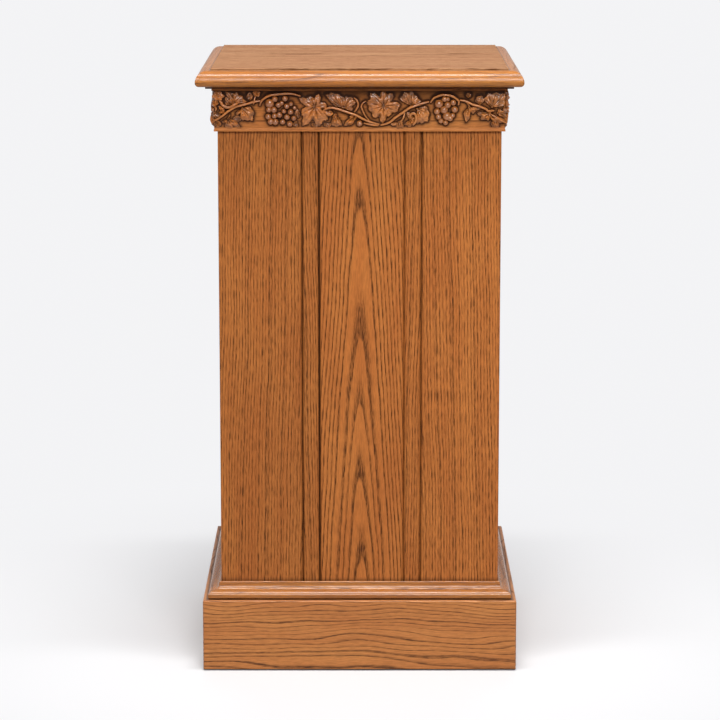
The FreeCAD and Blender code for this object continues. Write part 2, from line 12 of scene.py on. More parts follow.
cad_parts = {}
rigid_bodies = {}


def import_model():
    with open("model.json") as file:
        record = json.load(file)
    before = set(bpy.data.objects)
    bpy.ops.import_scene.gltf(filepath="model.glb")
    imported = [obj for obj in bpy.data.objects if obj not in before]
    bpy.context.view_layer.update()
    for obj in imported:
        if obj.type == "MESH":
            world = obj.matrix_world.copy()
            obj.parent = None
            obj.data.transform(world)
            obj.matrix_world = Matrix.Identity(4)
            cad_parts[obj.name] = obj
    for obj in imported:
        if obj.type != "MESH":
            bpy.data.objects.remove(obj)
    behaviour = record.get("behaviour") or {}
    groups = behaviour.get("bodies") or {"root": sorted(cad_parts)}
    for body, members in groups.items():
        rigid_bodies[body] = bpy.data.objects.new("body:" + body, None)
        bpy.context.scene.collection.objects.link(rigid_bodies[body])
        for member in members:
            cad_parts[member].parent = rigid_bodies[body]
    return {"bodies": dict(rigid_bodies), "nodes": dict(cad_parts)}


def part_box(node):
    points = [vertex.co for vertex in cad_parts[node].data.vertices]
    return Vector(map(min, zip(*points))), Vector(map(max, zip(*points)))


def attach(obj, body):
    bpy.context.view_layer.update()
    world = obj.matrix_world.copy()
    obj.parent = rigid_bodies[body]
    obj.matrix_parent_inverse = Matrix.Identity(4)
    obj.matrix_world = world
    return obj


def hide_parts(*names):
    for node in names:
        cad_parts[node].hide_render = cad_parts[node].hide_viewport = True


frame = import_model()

bl_info = {
    "name": "Oak plant stand",
    "version": (1, 0, 0),
    "blender": (4, 5, 0),
    "location": "3D View > Sidebar > Plant stand",
    "description": "Finishes the boards of an oak plant stand and carves its vine frieze",
    "category": "Object",
}

for leftover in [item for item in bpy.data.objects
                 if item not in frame["nodes"].values() and item not in frame["bodies"].values()]:
    bpy.data.objects.remove(leftover)
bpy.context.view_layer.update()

SIDES = ("front", "right", "back", "left")
CORNERS = ((-1, -1), (1, -1), (1, 1), (-1, 1))
MM = 0.001
RIGHT_ANGLE = math.radians(90)
ARRIS_ANGLE = math.radians(40)

# Places read from the frame, in metres
HALF_COLUMN = -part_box("front_panel")[0].y
FRIEZE_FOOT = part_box("front_frieze")[0].z
FRIEZE_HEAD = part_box("front_frieze")[1].z
PLINTH_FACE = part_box("front_plinth")[0].y
PLINTH_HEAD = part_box("front_plinth")[1].z
EDGE_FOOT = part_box("front_top_edge")[0].z
HALF_FIELD = -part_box("front_top_edge")[1].y
FIELD_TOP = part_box("top_panel")[1].z


# Driving values that a user may change

COLOUR = {"subtype": "COLOR", "size": 3, "min": 0, "max": 1}
POWER = {"unit": "POWER", "min": 0}


class OakFinish(bpy.types.PropertyGroup):
    """Colours of the stained oak."""
    light_wood: bpy.props.FloatVectorProperty(
        name="Light wood", description="Stained wood between the rings",
        default=(0.500, 0.169, 0.039), **COLOUR)
    dark_grain: bpy.props.FloatVectorProperty(
        name="Dark grain", description="Open pores that hold the stain",
        default=(0.090, 0.027, 0.006), **COLOUR)
    # Besides old stain, this colour paints shade in the hollows under the mouldings and round the carving
    crevice_stain_and_shade: bpy.props.FloatVectorProperty(
        name="Crevice stain", description="Old stain in the hollows of joints and carving",
        default=(0.030, 0.009, 0.003), **COLOUR)


class VineCarving(bpy.types.PropertyGroup):
    """Sizes of the carved vine."""
    vein_depth: bpy.props.FloatProperty(
        name="Vein depth", description="Depth of the cut veins of a leaf", unit="LENGTH", default=0.7 * MM)
    rim_drop: bpy.props.FloatProperty(
        name="Rim drop", description="Fall of a leaf towards its rim", unit="LENGTH", default=0.9 * MM)
    full_relief: bpy.props.FloatProperty(
        name="Full relief", description="Furthest reach of the carving from the column", unit="LENGTH",
        default=9.9 * MM)
    grape_stand: bpy.props.FloatProperty(
        name="Grape stand", description="Share of its radius that a grape's centre stands off the ground",
        subtype="FACTOR", min=0, max=1, default=0.8)
    stem_web: bpy.props.FloatProperty(
        name="Stem web", description="How deep a stem's back reaches, in stem radii", min=1, default=2.6)


class StudioStage(bpy.types.PropertyGroup):
    """Floor, lamps and camera."""
    floor_colour: bpy.props.FloatVectorProperty(
        name="Floor", description="Pale paper floor", default=(0.78, 0.78, 0.79), **COLOUR)
    far_colour: bpy.props.FloatVectorProperty(
        name="Far floor", description="Floor far from the stand", default=(0.90, 0.90, 0.915), **COLOUR)
    bounce_colour: bpy.props.FloatVectorProperty(
        name="Bounce", description="Light that the floor throws back on the stand",
        default=(0.45, 0.44, 0.43), **COLOUR)
    sky_strength: bpy.props.FloatProperty(
        name="Surround", description="Strength of the even white surround", min=0, default=0.27)
    room_strength: bpy.props.FloatProperty(
        name="Room", description="How bright the room behind the camera shows in the gloss", min=0,
        default=0.2)
    mirror_strength: bpy.props.FloatProperty(
        name="Mirrored backdrop", description="How bright the backdrop shows in the gloss", min=0,
        default=0.5)
    key_power: bpy.props.FloatProperty(
        name="Key lamp", description="Power of the soft lamp at the front", default=72.0, **POWER)
    fill_power: bpy.props.FloatProperty(
        name="Fill lamp", description="Power of the wide lamp high at the front", default=10.0, **POWER)
    strip_power: bpy.props.FloatProperty(
        name="Strip lamp", description="Power of the narrow lamp over the top", default=38.0, **POWER)
    back_power: bpy.props.FloatProperty(
        name="Back lamp", description="Power of the soft lamp behind the stand", default=30.0, **POWER)
    camera_place: bpy.props.FloatVectorProperty(
        name="Camera place", description="Where the camera stands", subtype="TRANSLATION", size=3,
        unit="LENGTH", default=(0.0005, -3.900, 1.1039))
    camera_pitch: bpy.props.FloatProperty(
        name="Camera pitch", description="Tilt of the camera below level", unit="ROTATION",
        default=math.radians(10.616))
    camera_lens: bpy.props.FloatProperty(
        name="Camera lens", description="Focal length on a 36 mm sensor", unit="CAMERA", min=1,
        default=147.57)


# Shared helpers: meshes

def quarter_turn(side):
    """The turn from the front to a side."""
    return Matrix.Rotation(RIGHT_ANGLE * SIDES.index(side), 4, "Z")


def middle(node):
    """The middle of a frame node's box."""
    low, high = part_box(node)
    return (low + high) / 2


def linked(name, data):
    """A new object in the scene."""
    made = bpy.data.objects.new(name, data)
    bpy.context.scene.collection.objects.link(made)
    return made


def mesh_piece(name, vertices, faces, material, smooth_under=ARRIS_ANGLE):
    """A new piece from points and faces, shaded smooth but for its arrises."""
    mesh = bpy.data.meshes.new(name)
    mesh.from_pydata([tuple(vertex) for vertex in vertices], [], faces)
    builder = bmesh.new()
    builder.from_mesh(mesh)
    bmesh.ops.recalc_face_normals(builder, faces=builder.faces)
    builder.to_mesh(mesh)
    builder.free()
    mesh.shade_smooth()
    mesh.set_sharp_from_angle(angle=smooth_under)
    mesh.materials.append(material)
    return linked(name, mesh)


def bands(count, rings, first=0):
    """Faces between successive closed rings of as many points each."""
    return [(base + index, base + (index + 1) % count, base + count + (index + 1) % count, base + count + index)
            for base in range(first, first + (rings - 1) * count, count) for index in range(count)]


def capped(count, rings):
    """Faces of a body over successive closed rings, with a flat cap at each end."""
    return bands(count, rings) + [tuple(range(count)), tuple(range((rings - 1) * count, rings * count))]


def baked(piece):
    """Turn a piece's live modifiers into its plain mesh."""
    graph = bpy.context.evaluated_depsgraph_get()
    mesh = bpy.data.meshes.new_from_object(piece.evaluated_get(graph), depsgraph=graph)
    piece.modifiers.clear()
    piece.data = mesh
    return piece


def closed(piece):
    """Join the doubled points of a piece and turn its faces outward."""
    touching = 0.002 * MM
    builder = bmesh.new()
    builder.from_mesh(piece.data)
    bmesh.ops.remove_doubles(builder, verts=builder.verts, dist=touching)
    bmesh.ops.recalc_face_normals(builder, faces=builder.faces)
    builder.to_mesh(piece.data)
    builder.free()
    return piece


def eased(piece, width):
    """Round every arris of a piece a little and keep its flats flat."""
    bevel = piece.modifiers.new("Eased arrises", "BEVEL")
    bevel.width = width
    bevel.segments = 2
    bevel.limit_method = "ANGLE"
    bevel.angle_limit = ARRIS_ANGLE
    piece.modifiers.new("Flat faces", "WEIGHTED_NORMAL").keep_sharp = True
    piece.data.set_sharp_from_angle(angle=math.pi)
    return closed(baked(piece))


def arc(centre, radius, start, end, steps):
    """Points of a round or oval arc in a moulding's section, from one angle to another in degrees."""
    across, up = np.broadcast_to(radius, 2)
    angles = np.radians(np.linspace(start, end, steps + 1))
    return [(centre[0] + across * math.cos(angle), centre[1] + up * math.sin(angle)) for angle in angles]


def mitred_length(name, section, side, material, ease):
    """A moulding of one side with mitred ends; the section gives points out from the axis and up."""
    shy = 0.05 * MM
    turn = quarter_turn(side)
    vertices = [turn @ Vector((end * (out - shy), -out, height)) for end in (-1, 1) for out, height in section]
    return eased(mesh_piece(name, vertices, capped(len(section), 2), material), ease)


def fit(piece, slot, *nodes):
    """Hang a finished piece on the stand's body in place of its frame nodes."""
    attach(piece, "root")
    if nodes:
        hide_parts(*nodes)


# Shared helpers: node trees and materials

class Nodes:
    """A node tree under construction, with short calls for what the trees here use."""

    def __init__(self, tree):
        self.tree = tree
        tree.nodes.clear()

    def feed(self, socket, value):
        """Link a socket to another one, or give it a plain value."""
        if isinstance(value, bpy.types.NodeSocket):
            self.tree.links.new(value, socket)
        else:
            socket.default_value = value

    def node(self, kind, inputs=None, **settings):
        """A new node with its settings, and its inputs by name or number."""
        made = self.tree.nodes.new(kind)
        for key, value in settings.items():
            setattr(made, key, value)
        for key, value in (inputs or {}).items():
            self.feed(made.inputs[key], value)
        return made

    def calc(self, operation, *values):
        """Arithmetic on sockets and numbers."""
        return self.node("ShaderNodeMath", dict(enumerate(values)), operation=operation).outputs[0]

    def span(self, value, low, high, to_low=0.0, to_high=1.0, easing="SMOOTHSTEP"):
        """Carry a value from one pair of limits to another."""
        inputs = dict(enumerate((value, low, high, to_low, to_high)))
        return self.node("ShaderNodeMapRange", inputs, interpolation_type=easing).outputs[0]


class Finish(Nodes):
    """A material under construction."""

    def __init__(self, name):
        self.material = bpy.data.materials.new(name)
        self.material.use_nodes = True
        super().__init__(self.material.node_tree)

    def place(self):
        """A point's place on the stand, in metres."""
        return self.node("ShaderNodeTexCoord").outputs["Object"]

    def stretched_noise(self, grain, size, detail=2.0):
        """Noise with one size across the grain and another along it, in millimetres."""
        across, along = size
        scaled = self.node("ShaderNodeVectorMath", {0: grain, 1: (1 / across, 1 / across, 1 / along)},
                           operation="MULTIPLY")
        inputs = {"Vector": scaled.outputs[0], "Scale": 1.0, "Detail": detail}
        return self.node("ShaderNodeTexNoise", inputs).outputs["Fac"]

    def years(self, reach, ring):
        """Count the rings out from the pith, of an uneven width or at the radii of a list."""
        if isinstance(ring, tuple):
            low, high, last = ring[0], ring[-1], len(ring) - 1
            ramp = self.node("ShaderNodeValToRGB", {0: self.span(reach, low, high, easing="LINEAR")})
            stops = ramp.color_ramp.elements
            for radius in ring[1:-1]:
                stops.new((radius - low) / (high - low))
            for index, stop in enumerate(stops):
                stop.color = (*[index / last] * 3, 1)
            return self.calc("MULTIPLY", ramp.outputs[0], last)
        change, lead = 0.43, 0.8
        even = self.calc("DIVIDE", reach, ring)
        uneven = self.node("ShaderNodeTexNoise", {"W": self.calc("MULTIPLY", even, change)},
                           noise_dimensions="1D")
        return self.calc("MULTIPLY_ADD", uneven.outputs["Fac"], lead, even)

    def blend(self, factor, first, second):
        """Mix two colours, each a socket or its three channels."""
        made = self.node("ShaderNodeMix", {"Factor": factor}, data_type="RGBA")
        sockets = {item.identifier: item for item in (*made.inputs, *made.outputs)}
        for key, value in (("A_Color", first), ("B_Color", second)):
            self.feed(sockets[key], (*value, 1) if isinstance(value, tuple) else value)
        return sockets["Result_Color"]

    def surface(self, shader):
        """End the material in a shader."""
        self.node("ShaderNodeOutputMaterial", {"Surface": shader.outputs[0]})
        return self.material


# How a board was cut from its log, in millimetres: the pith's place beside and below the face, the width of
# its rings or their radii and how far they wander; how strong the rings and pores show; the log's taper; how
# far the rings break into dashes; what multiplies the wood's colour; the share of a ring that is early wood;
# the hollows that hold old stain and painted shade; how much the mesh's own marks of stain and painted shade
# give; and the varnish's specular level and roughness.
Cut = namedtuple(
    "Cut", "beside below ring wander rings pores taper broken tone early hollows marked gloss rough",
    defaults=(0.02, 0.6, 1.0, 0.46, (), 0.0, 0.14, 0.36))

# A hollow of a board, darkened with old stain and painted shade: the axis along which it deepens, the places
# in millimetres where the darkening starts and is full, and its strength on the board's left and right, with
# the width in which that changes
Hollow = namedtuple("Hollow", "axis start full left right")
ACROSS, INWARD, ALONG = range(3)
HALF_CHANGE = 5

# Sizes of the grain's patterns across and along it, in millimetres
DRIFT, RIPPLE, CLOUDS = (75, 260), (11, 55), (34, 190)
DASHES, SPECKS = (1.1, 15), (0.8, 8)
RIPPLE_HEIGHT = 1.5
PORE_DEPTH = 0.15 * MM
PORE_BUMP, PORE_ROUGHNESS = 0.35, 0.22
# The darker, redder clouds in the wood, as a share of its colour
CLOUD_SHARE = (0.88, 0.80, 0.78)


def grain_axes(side, run):
    """The directions across the grain, into the wood and along the grain of a piece."""
    turn = quarter_turn(side).to_3x3()
    across, inward, up = turn @ Vector((1, 0, 0)), turn @ Vector((0, 1, 0)), Vector((0, 0, 1))
    if run == "upright":
        return across, inward, up
    if run == "level":
        return -up, inward, across
    return inward, up, across


def in_grain(finish, side, run, centre):
    """A point's place from a piece's centre, along the axes of its grain, in millimetres."""
    rows = Matrix(grain_axes(side, run))
    inputs = {"Vector": finish.place(), "Location": rows @ Vector(centre) / -MM,
              "Rotation": rows.to_euler(), "Scale": (1 / MM, 1 / MM, 1 / MM)}
    return finish.node("ShaderNodeMapping", inputs).outputs[0]


def year_bands(finish, grain, axes, cut):
    """The dark band of each year, in rings about the pith that slow drift and small ripples bend; it starts
    sharply at the winter's end, fades through the early wood and weighs more in some years."""
    drift = finish.calc("SUBTRACT", finish.stretched_noise(grain, DRIFT), 0.5)
    ripple = finish.calc("SUBTRACT", finish.stretched_noise(grain, RIPPLE), 0.5)
    beside = finish.calc("SUBTRACT", axes[ACROSS], cut.beside)
    beside = finish.calc("MULTIPLY_ADD", drift, cut.wander, beside)
    below = finish.calc("ADD", axes[INWARD], cut.below)
    squares = finish.calc("MULTIPLY_ADD", beside, beside, finish.calc("MULTIPLY", below, below))
    reach = finish.calc("MULTIPLY_ADD", axes[ALONG], cut.taper, finish.calc("SQRT", squares))
    reach = finish.calc("MULTIPLY_ADD", ripple, RIPPLE_HEIGHT, reach)
    years = finish.years(reach, cut.ring)
    season = finish.calc("FRACT", years)
    spring = finish.span(season, low=0.05, high=cut.early, to_low=1.0, to_high=0.0)
    winter = finish.span(season, low=0.92, high=1.0)
    chance = finish.node("ShaderNodeTexWhiteNoise", {"W": finish.calc("FLOOR", years)}, noise_dimensions="1D")
    weight = finish.calc("MULTIPLY_ADD", chance.outputs[0], 0.3, 0.7)
    return finish.calc("MULTIPLY", finish.calc("MAXIMUM", spring, winter), weight)


def open_pores(finish, grain):
    """Long dashes and fainter short specks that follow the grain."""
    dashes = finish.span(finish.stretched_noise(grain, DASHES), low=0.42, high=0.60)
    specks = finish.span(finish.stretched_noise(grain, SPECKS, detail=1.0), low=0.50, high=0.68)
    return finish.calc("MAXIMUM", dashes, finish.calc("MULTIPLY", specks, 0.7))


def with_stain_and_shade(finish, colour, axes, cut, stain_and_shade_colour):
    """A colour with old stain and painted shade over it, in a board's hollows and where its mesh is marked."""
    for hollow in cut.hollows:
        depth = finish.span(axes[hollow.axis], hollow.start, hollow.full)
        strength = finish.span(axes[ACROSS], -HALF_CHANGE, HALF_CHANGE, hollow.left, hollow.right)
        colour = finish.blend(finish.calc("MULTIPLY", depth, strength), colour, stain_and_shade_colour)
    if cut.marked:
        # The mesh's stain marks hold old stain and painted shade of the carving's recesses
        marks = finish.node("ShaderNodeAttribute", attribute_name="stain").outputs["Fac"]
        colour = finish.blend(finish.calc("MULTIPLY", marks, cut.marked), colour, stain_and_shade_colour)
    return colour


def oak(name, side, run, centre, cut, shift):
    """Oak in the direction of a piece, ringed about its own pith and full of pores dark with stain; the shift
    along the grain keeps pieces from looking alike."""
    look = bpy.context.scene.stand_oak
    finish = Finish(name)
    place = in_grain(finish, side, run, centre)
    grain = finish.node("ShaderNodeVectorMath", {0: place, 1: (0, 0, shift)}, operation="ADD").outputs[0]
    axes = finish.node("ShaderNodeSeparateXYZ", {0: place}).outputs
    pores = open_pores(finish, grain)
    ringed = finish.calc("MULTIPLY", year_bands(finish, grain, axes, cut),
                         finish.calc("MULTIPLY_ADD", pores, cut.broken, 1 - cut.broken))
    dark = finish.calc("MULTIPLY_ADD", ringed, cut.rings, finish.calc("MULTIPLY", pores, cut.pores))
    dark = finish.calc("MINIMUM", dark, 1.0)

    light = tuple(np.multiply(look.light_wood, cut.tone))
    cloud = finish.span(finish.stretched_noise(grain, CLOUDS), low=0.30, high=0.70)
    wood = finish.blend(cloud, light, tuple(np.multiply(light, CLOUD_SHARE)))
    colour = finish.blend(dark, wood, tuple(look.dark_grain))
    relief = {"Strength": PORE_BUMP, "Distance": PORE_DEPTH, "Height": finish.calc("SUBTRACT", 1.0, dark)}
    shader = finish.node("ShaderNodeBsdfPrincipled", {
        "Base Color": with_stain_and_shade(finish, colour, axes, cut, tuple(look.crevice_stain_and_shade)),
        "Roughness": finish.calc("MULTIPLY_ADD", dark, PORE_ROUGHNESS, cut.rough),
        "Specular IOR Level": cut.gloss,
        "Normal": finish.node("ShaderNodeBump", relief).outputs[0],
    })
    return finish.surface(shader)


def steel(name, colour, roughness):
    """Plated steel with fine turned marks."""
    marks_per_metre, worn_share, mark_roughness = 900.0, 0.7, 0.2
    finish = Finish(name)
    inputs = {"Vector": finish.place(), "Scale": marks_per_metre}
    marks = finish.node("ShaderNodeTexNoise", inputs).outputs["Fac"]
    shader = finish.node("ShaderNodeBsdfPrincipled", {
        "Base Color": finish.blend(marks, colour, tuple(np.multiply(colour, worn_share))),
        "Metallic": 1.0,
        "Roughness": finish.calc("MULTIPLY_ADD", marks, mark_roughness, roughness),
    })
    return finish.surface(shader)


def dress(node, material):
    """Give a frame node its finish."""
    frame["nodes"][node].material_slots[0].material = material


# Pieces

def joint_stain_and_shade(left, right):
    """Old stain in the v-joints at a board's left and right, and painted shade by the mouldings at its ends."""
    return (Hollow(INWARD, 0.3, 2.2, left, right), Hollow(ALONG, -257, -262, 0.45, 0.45),
            Hollow(ALONG, 290, 326, 0.14, 0.14))


# The five boards of a face: straight grain but for the flat-sawn panel in the middle
PANEL_RINGS = (-9.5, -3.5, 2.4, 8.2, 13.8, 18.3, 27.8, *np.arange(32.5, 75, 4.5), 78, 83, 88)
STILE = Cut(beside=150, below=60, ring=3.6, wander=14, rings=0.76, pores=0.34, broken=0.5, early=0.6)
STRIP = STILE._replace(below=50, ring=3.4, wander=12, rings=0.85)
PANEL = Cut(beside=-2, below=15, ring=PANEL_RINGS, wander=12, rings=0.95, pores=0.28, taper=0.055, broken=0.5,
            early=0.5)
BOARD_CUTS = {
    "stile_left": STILE._replace(tone=0.99, hollows=joint_stain_and_shade(0.7, 0.45)),
    "strip_left": STRIP._replace(beside=-120, tone=0.99, hollows=joint_stain_and_shade(0.6, 0.9)),
    "panel": PANEL._replace(tone=1.08, hollows=joint_stain_and_shade(0.9, 0.15)),
    "strip_right": STRIP._replace(beside=110, tone=1.08, hollows=joint_stain_and_shade(0.15, 0.2)),
    "stile_right": STILE._replace(beside=-150, rings=0.78, tone=1.12, hollows=joint_stain_and_shade(0.65, 0.7)),
}


class STAND_OT_boards(bpy.types.Operator):
    """Finish the upright boards of the four faces"""
    bl_idname = "plant_stand.boards"
    bl_label = "Finish the boards"

    def execute(self, context):
        for turns, side in enumerate(SIDES):
            turn = quarter_turn(side)
            for place, (board, cut) in enumerate(BOARD_CUTS.items()):
                node = f"{side}_{board}"
                centre = turn.inverted() @ middle(node)
                face = turn @ Vector((centre.x, -HALF_COLUMN, centre.z))
                dress(node, oak(f"oak_{node}", side, "upright", face, cut, 1400 * turns + 310 * place))
        return {"FINISHED"}


class STAND_OT_inner_wood(bpy.types.Operator):
    """Finish the posts, cleats and boards hidden in the stand"""
    bl_idname = "plant_stand.inner_wood"
    bl_label = "Finish the inner wood"

    def execute(self, context):
        cut = Cut(beside=90, below=40, ring=6.0, wander=14, rings=0.5, pores=0.3, tone=1.1)
        upright = oak("oak_posts", "front", "upright", (0, 0, 0), cut, 5200)
        for side in SIDES:
            dress(f"{side}_corner_post", upright)
            level = oak(f"oak_{side}_cleats", side, "level", (0, 0, 0), cut, 5600)
            dress(f"{side}_top_cleat", level)
            dress(f"{side}_bottom_cleat", level)
        dress("bottom_board", oak("oak_bottom_board", "front", "flat", (0, 0, 0), cut, 6000))
        return {"FINISHED"}


class STAND_OT_steel(bpy.types.Operator):
    """Finish the screws and glides"""
    bl_idname = "plant_stand.steel"
    bl_label = "Finish the steel"

    def execute(self, context):
        zinc = steel("zinc_plated_steel", (0.62, 0.60, 0.54), 0.34)
        dress("top_screws", zinc)
        dress("plinth_screws", zinc)
        dress("glides", steel("nickel_plated_steel", (0.66, 0.63, 0.58), 0.26))
        return {"FINISHED"}


class STAND_OT_plinth(bpy.types.Operator):
    """Finish the four plinth boards"""
    bl_idname = "plant_stand.plinth"
    bl_label = "Finish the plinth"

    def execute(self, context):
        # Painted shade with old stain on the ledge behind the plinth's face, under the base moulding, and a
        # painted shadow line along the foot
        ledge, foot = Hollow(INWARD, 1.5, 6.0, 0.8, 0.8), Hollow(ACROSS, 44.6, 45.8, 0.9, 0.9)
        cut = Cut(beside=74, below=40, ring=5.3, wander=60, rings=0.88, pores=0.24, taper=0.012, broken=0.3,
                  tone=(1.16, 1.33, 1.58), early=0.44, hollows=(ledge, foot), gloss=0.3, rough=0.3)
        for turns, side in enumerate(SIDES):
            node = f"{side}_plinth"
            face = quarter_turn(side) @ Vector((0, PLINTH_FACE, middle(node).z))
            dress(node, oak(f"oak_{node}", side, "level", face, cut, 900 + 1100 * turns))
        return {"FINISHED"}


def run_round(name, replaced, section, cut, shifts, ease):
    """Run a mitred moulding round the four sides in place of its frame nodes."""
    for side, shift in zip(SIDES, shifts):
        node = f"{side}_{replaced}"
        material = oak(f"oak_{node}", side, "level", middle(node), cut, shift)
        fit(mitred_length(f"{side}_{name}", section, side, material, ease), "oak_moulding", node)


class STAND_OT_base_moulding(bpy.types.Operator):
    """Make the mitred moulding that stands on the plinth"""
    bl_idname = "plant_stand.base_moulding"
    bl_label = "Make the base moulding"

    def execute(self, context):
        head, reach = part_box("front_base_moulding")[1].z, -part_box("front_base_moulding")[0].y
        lip_out, lip_height, lip_round = HALF_COLUMN + 2.6 * MM, 2.0 * MM, 1.5 * MM
        ledge, upright, under = 1.4 * MM, 1.4 * MM, 1.7 * MM
        cove = (5.6 * MM, 7.8 * MM)
        bead = (reach - lip_out - cove[0] - ledge, 7.0 * MM)
        cove_head = head - lip_height
        bead_foot = cove_head - cove[1] - bead[1]
        section = [(HALF_COLUMN, PLINTH_HEAD), (HALF_COLUMN, head)]
        section += arc((lip_out - lip_round, head - lip_round), lip_round, 90, 0, 6)
        section += arc((lip_out + cove[0], cove_head), cove, 180, 270, 14)
        section += arc((reach - bead[0], bead_foot), bead, 90, 0, 18)
        section += arc((reach - under, bead_foot - upright), under, 0, -90, 8)
        section += [(reach - under, PLINTH_HEAD)]
        # Painted shade under the bead at the moulding's foot
        foot = Hollow(ACROSS, 8.2, 9.6, 0.8, 0.8)
        cut = Cut(beside=-60, below=40, ring=4.4, wander=26, rings=0.6, pores=0.3, tone=(0.88, 0.96, 0.85),
                  hollows=(foot,), gloss=0.4, rough=0.22)
        run_round("base_cove", "base_moulding", section, cut, range(2300, 5900, 900), 0.35 * MM)
        return {"FINISHED"}


class STAND_OT_top_edge(bpy.types.Operator):
    """Make the mitred nosed edging of the top"""
    bl_idname = "plant_stand.top_edge"
    bl_label = "Make the top edging"

    def execute(self, context):
        flat, nose, under = 4.4 * MM, 14.6 * MM, 5.4 * MM
        groove_foot, groove_height, groove_depth = EDGE_FOOT + 6.9 * MM, 6.2 * MM, 8.5 * MM
        nose_up = EDGE_FOOT + under
        nose_out = HALF_FIELD + flat + nose
        section = [(HALF_FIELD, EDGE_FOOT), (HALF_FIELD, groove_foot),
                   (HALF_FIELD + groove_depth, groove_foot),
                   (HALF_FIELD + groove_depth, groove_foot + groove_height),
                   (HALF_FIELD, groove_foot + groove_height), (HALF_FIELD, nose_up + nose)]
        section += arc((HALF_FIELD + flat, nose_up), nose, 90, 0, 28)
        section += arc((nose_out - under, nose_up), under, 0, -90, 12)[1:]
        # Painted shade along the nosing's inner edge, beside the raised field
        quirk_shade = Hollow(INWARD, 6.5, 9.0, 0.7, 0.7)
        cut = Cut(beside=-45, below=50, ring=4.0, wander=22, rings=0.6, pores=0.3, tone=(0.87, 0.96, 0.85),
                  hollows=(quirk_shade,), gloss=0.28, rough=0.22)
        run_round("nosing", "top_edge", section, cut, range(3100, 6580, 870), 0.3 * MM)
        return {"FINISHED"}


def ledge_board(name, material):
    """The thin board under the top, rebated below so that only a narrow ledge stands out."""
    low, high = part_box("sub_top")
    step = low.z + 3.2 * MM
    fillet = HALF_COLUMN + 7.0 * MM
    rings = [(fillet, low.z), (fillet, step), (high.x, step), (high.x, high.z)]
    vertices = [(across * half, deep * half, height) for half, height in rings for across, deep in CORNERS]
    return eased(mesh_piece(name, vertices, capped(4, len(rings)), material), 0.3 * MM)


class STAND_OT_top(bpy.types.Operator):
    """Finish the raised field of the top and make the board below it"""
    bl_idname = "plant_stand.top"
    bl_label = "Finish the top"

    def execute(self, context):
        # The field's paler, bluer tone holds a painted sheen of the backdrop over the wood's colour
        field = Cut(beside=30, below=60, ring=6.0, wander=60, rings=0.75, pores=0.36, taper=0.03,
                    tone=(0.80, 1.22, 2.55), rough=0.6)
        dress("top_panel", oak("oak_field", "front", "flat", (0, 0, FIELD_TOP), field, 4100))
        # Painted shade on the ledge board's upper front, under the nosing
        step = Hollow(INWARD, 3.0, 3.6, 0.85, 0.85)
        ledge = Cut(beside=60, below=50, ring=6.0, wander=20, rings=0.5, pores=0.4, taper=0.03, tone=0.8,
                    hollows=(step,))
        material = oak("oak_sub_top", "front", "flat", (0, 0, FRIEZE_HEAD), ledge, 4700)
        fit(ledge_board("ledge_board", material), "oak_moulding", "sub_top")
        return {"FINISHED"}


# The frieze board's front in millimetres: heights from its foot and how far it stands off the column there.
# A plain band runs along the foot over a thin fillet, and the ground above it cants out a little to its head.
BOARD_HEIGHTS = (0.0, 1.6, 3.6, 13.0, 26.5, 51.5)
BOARD_STANDS = (4.6, 4.6, 4.0, 3.1, 3.0, 4.2)
CARVED_FOOT, CARVED_HEAD = 0.8, 51.3

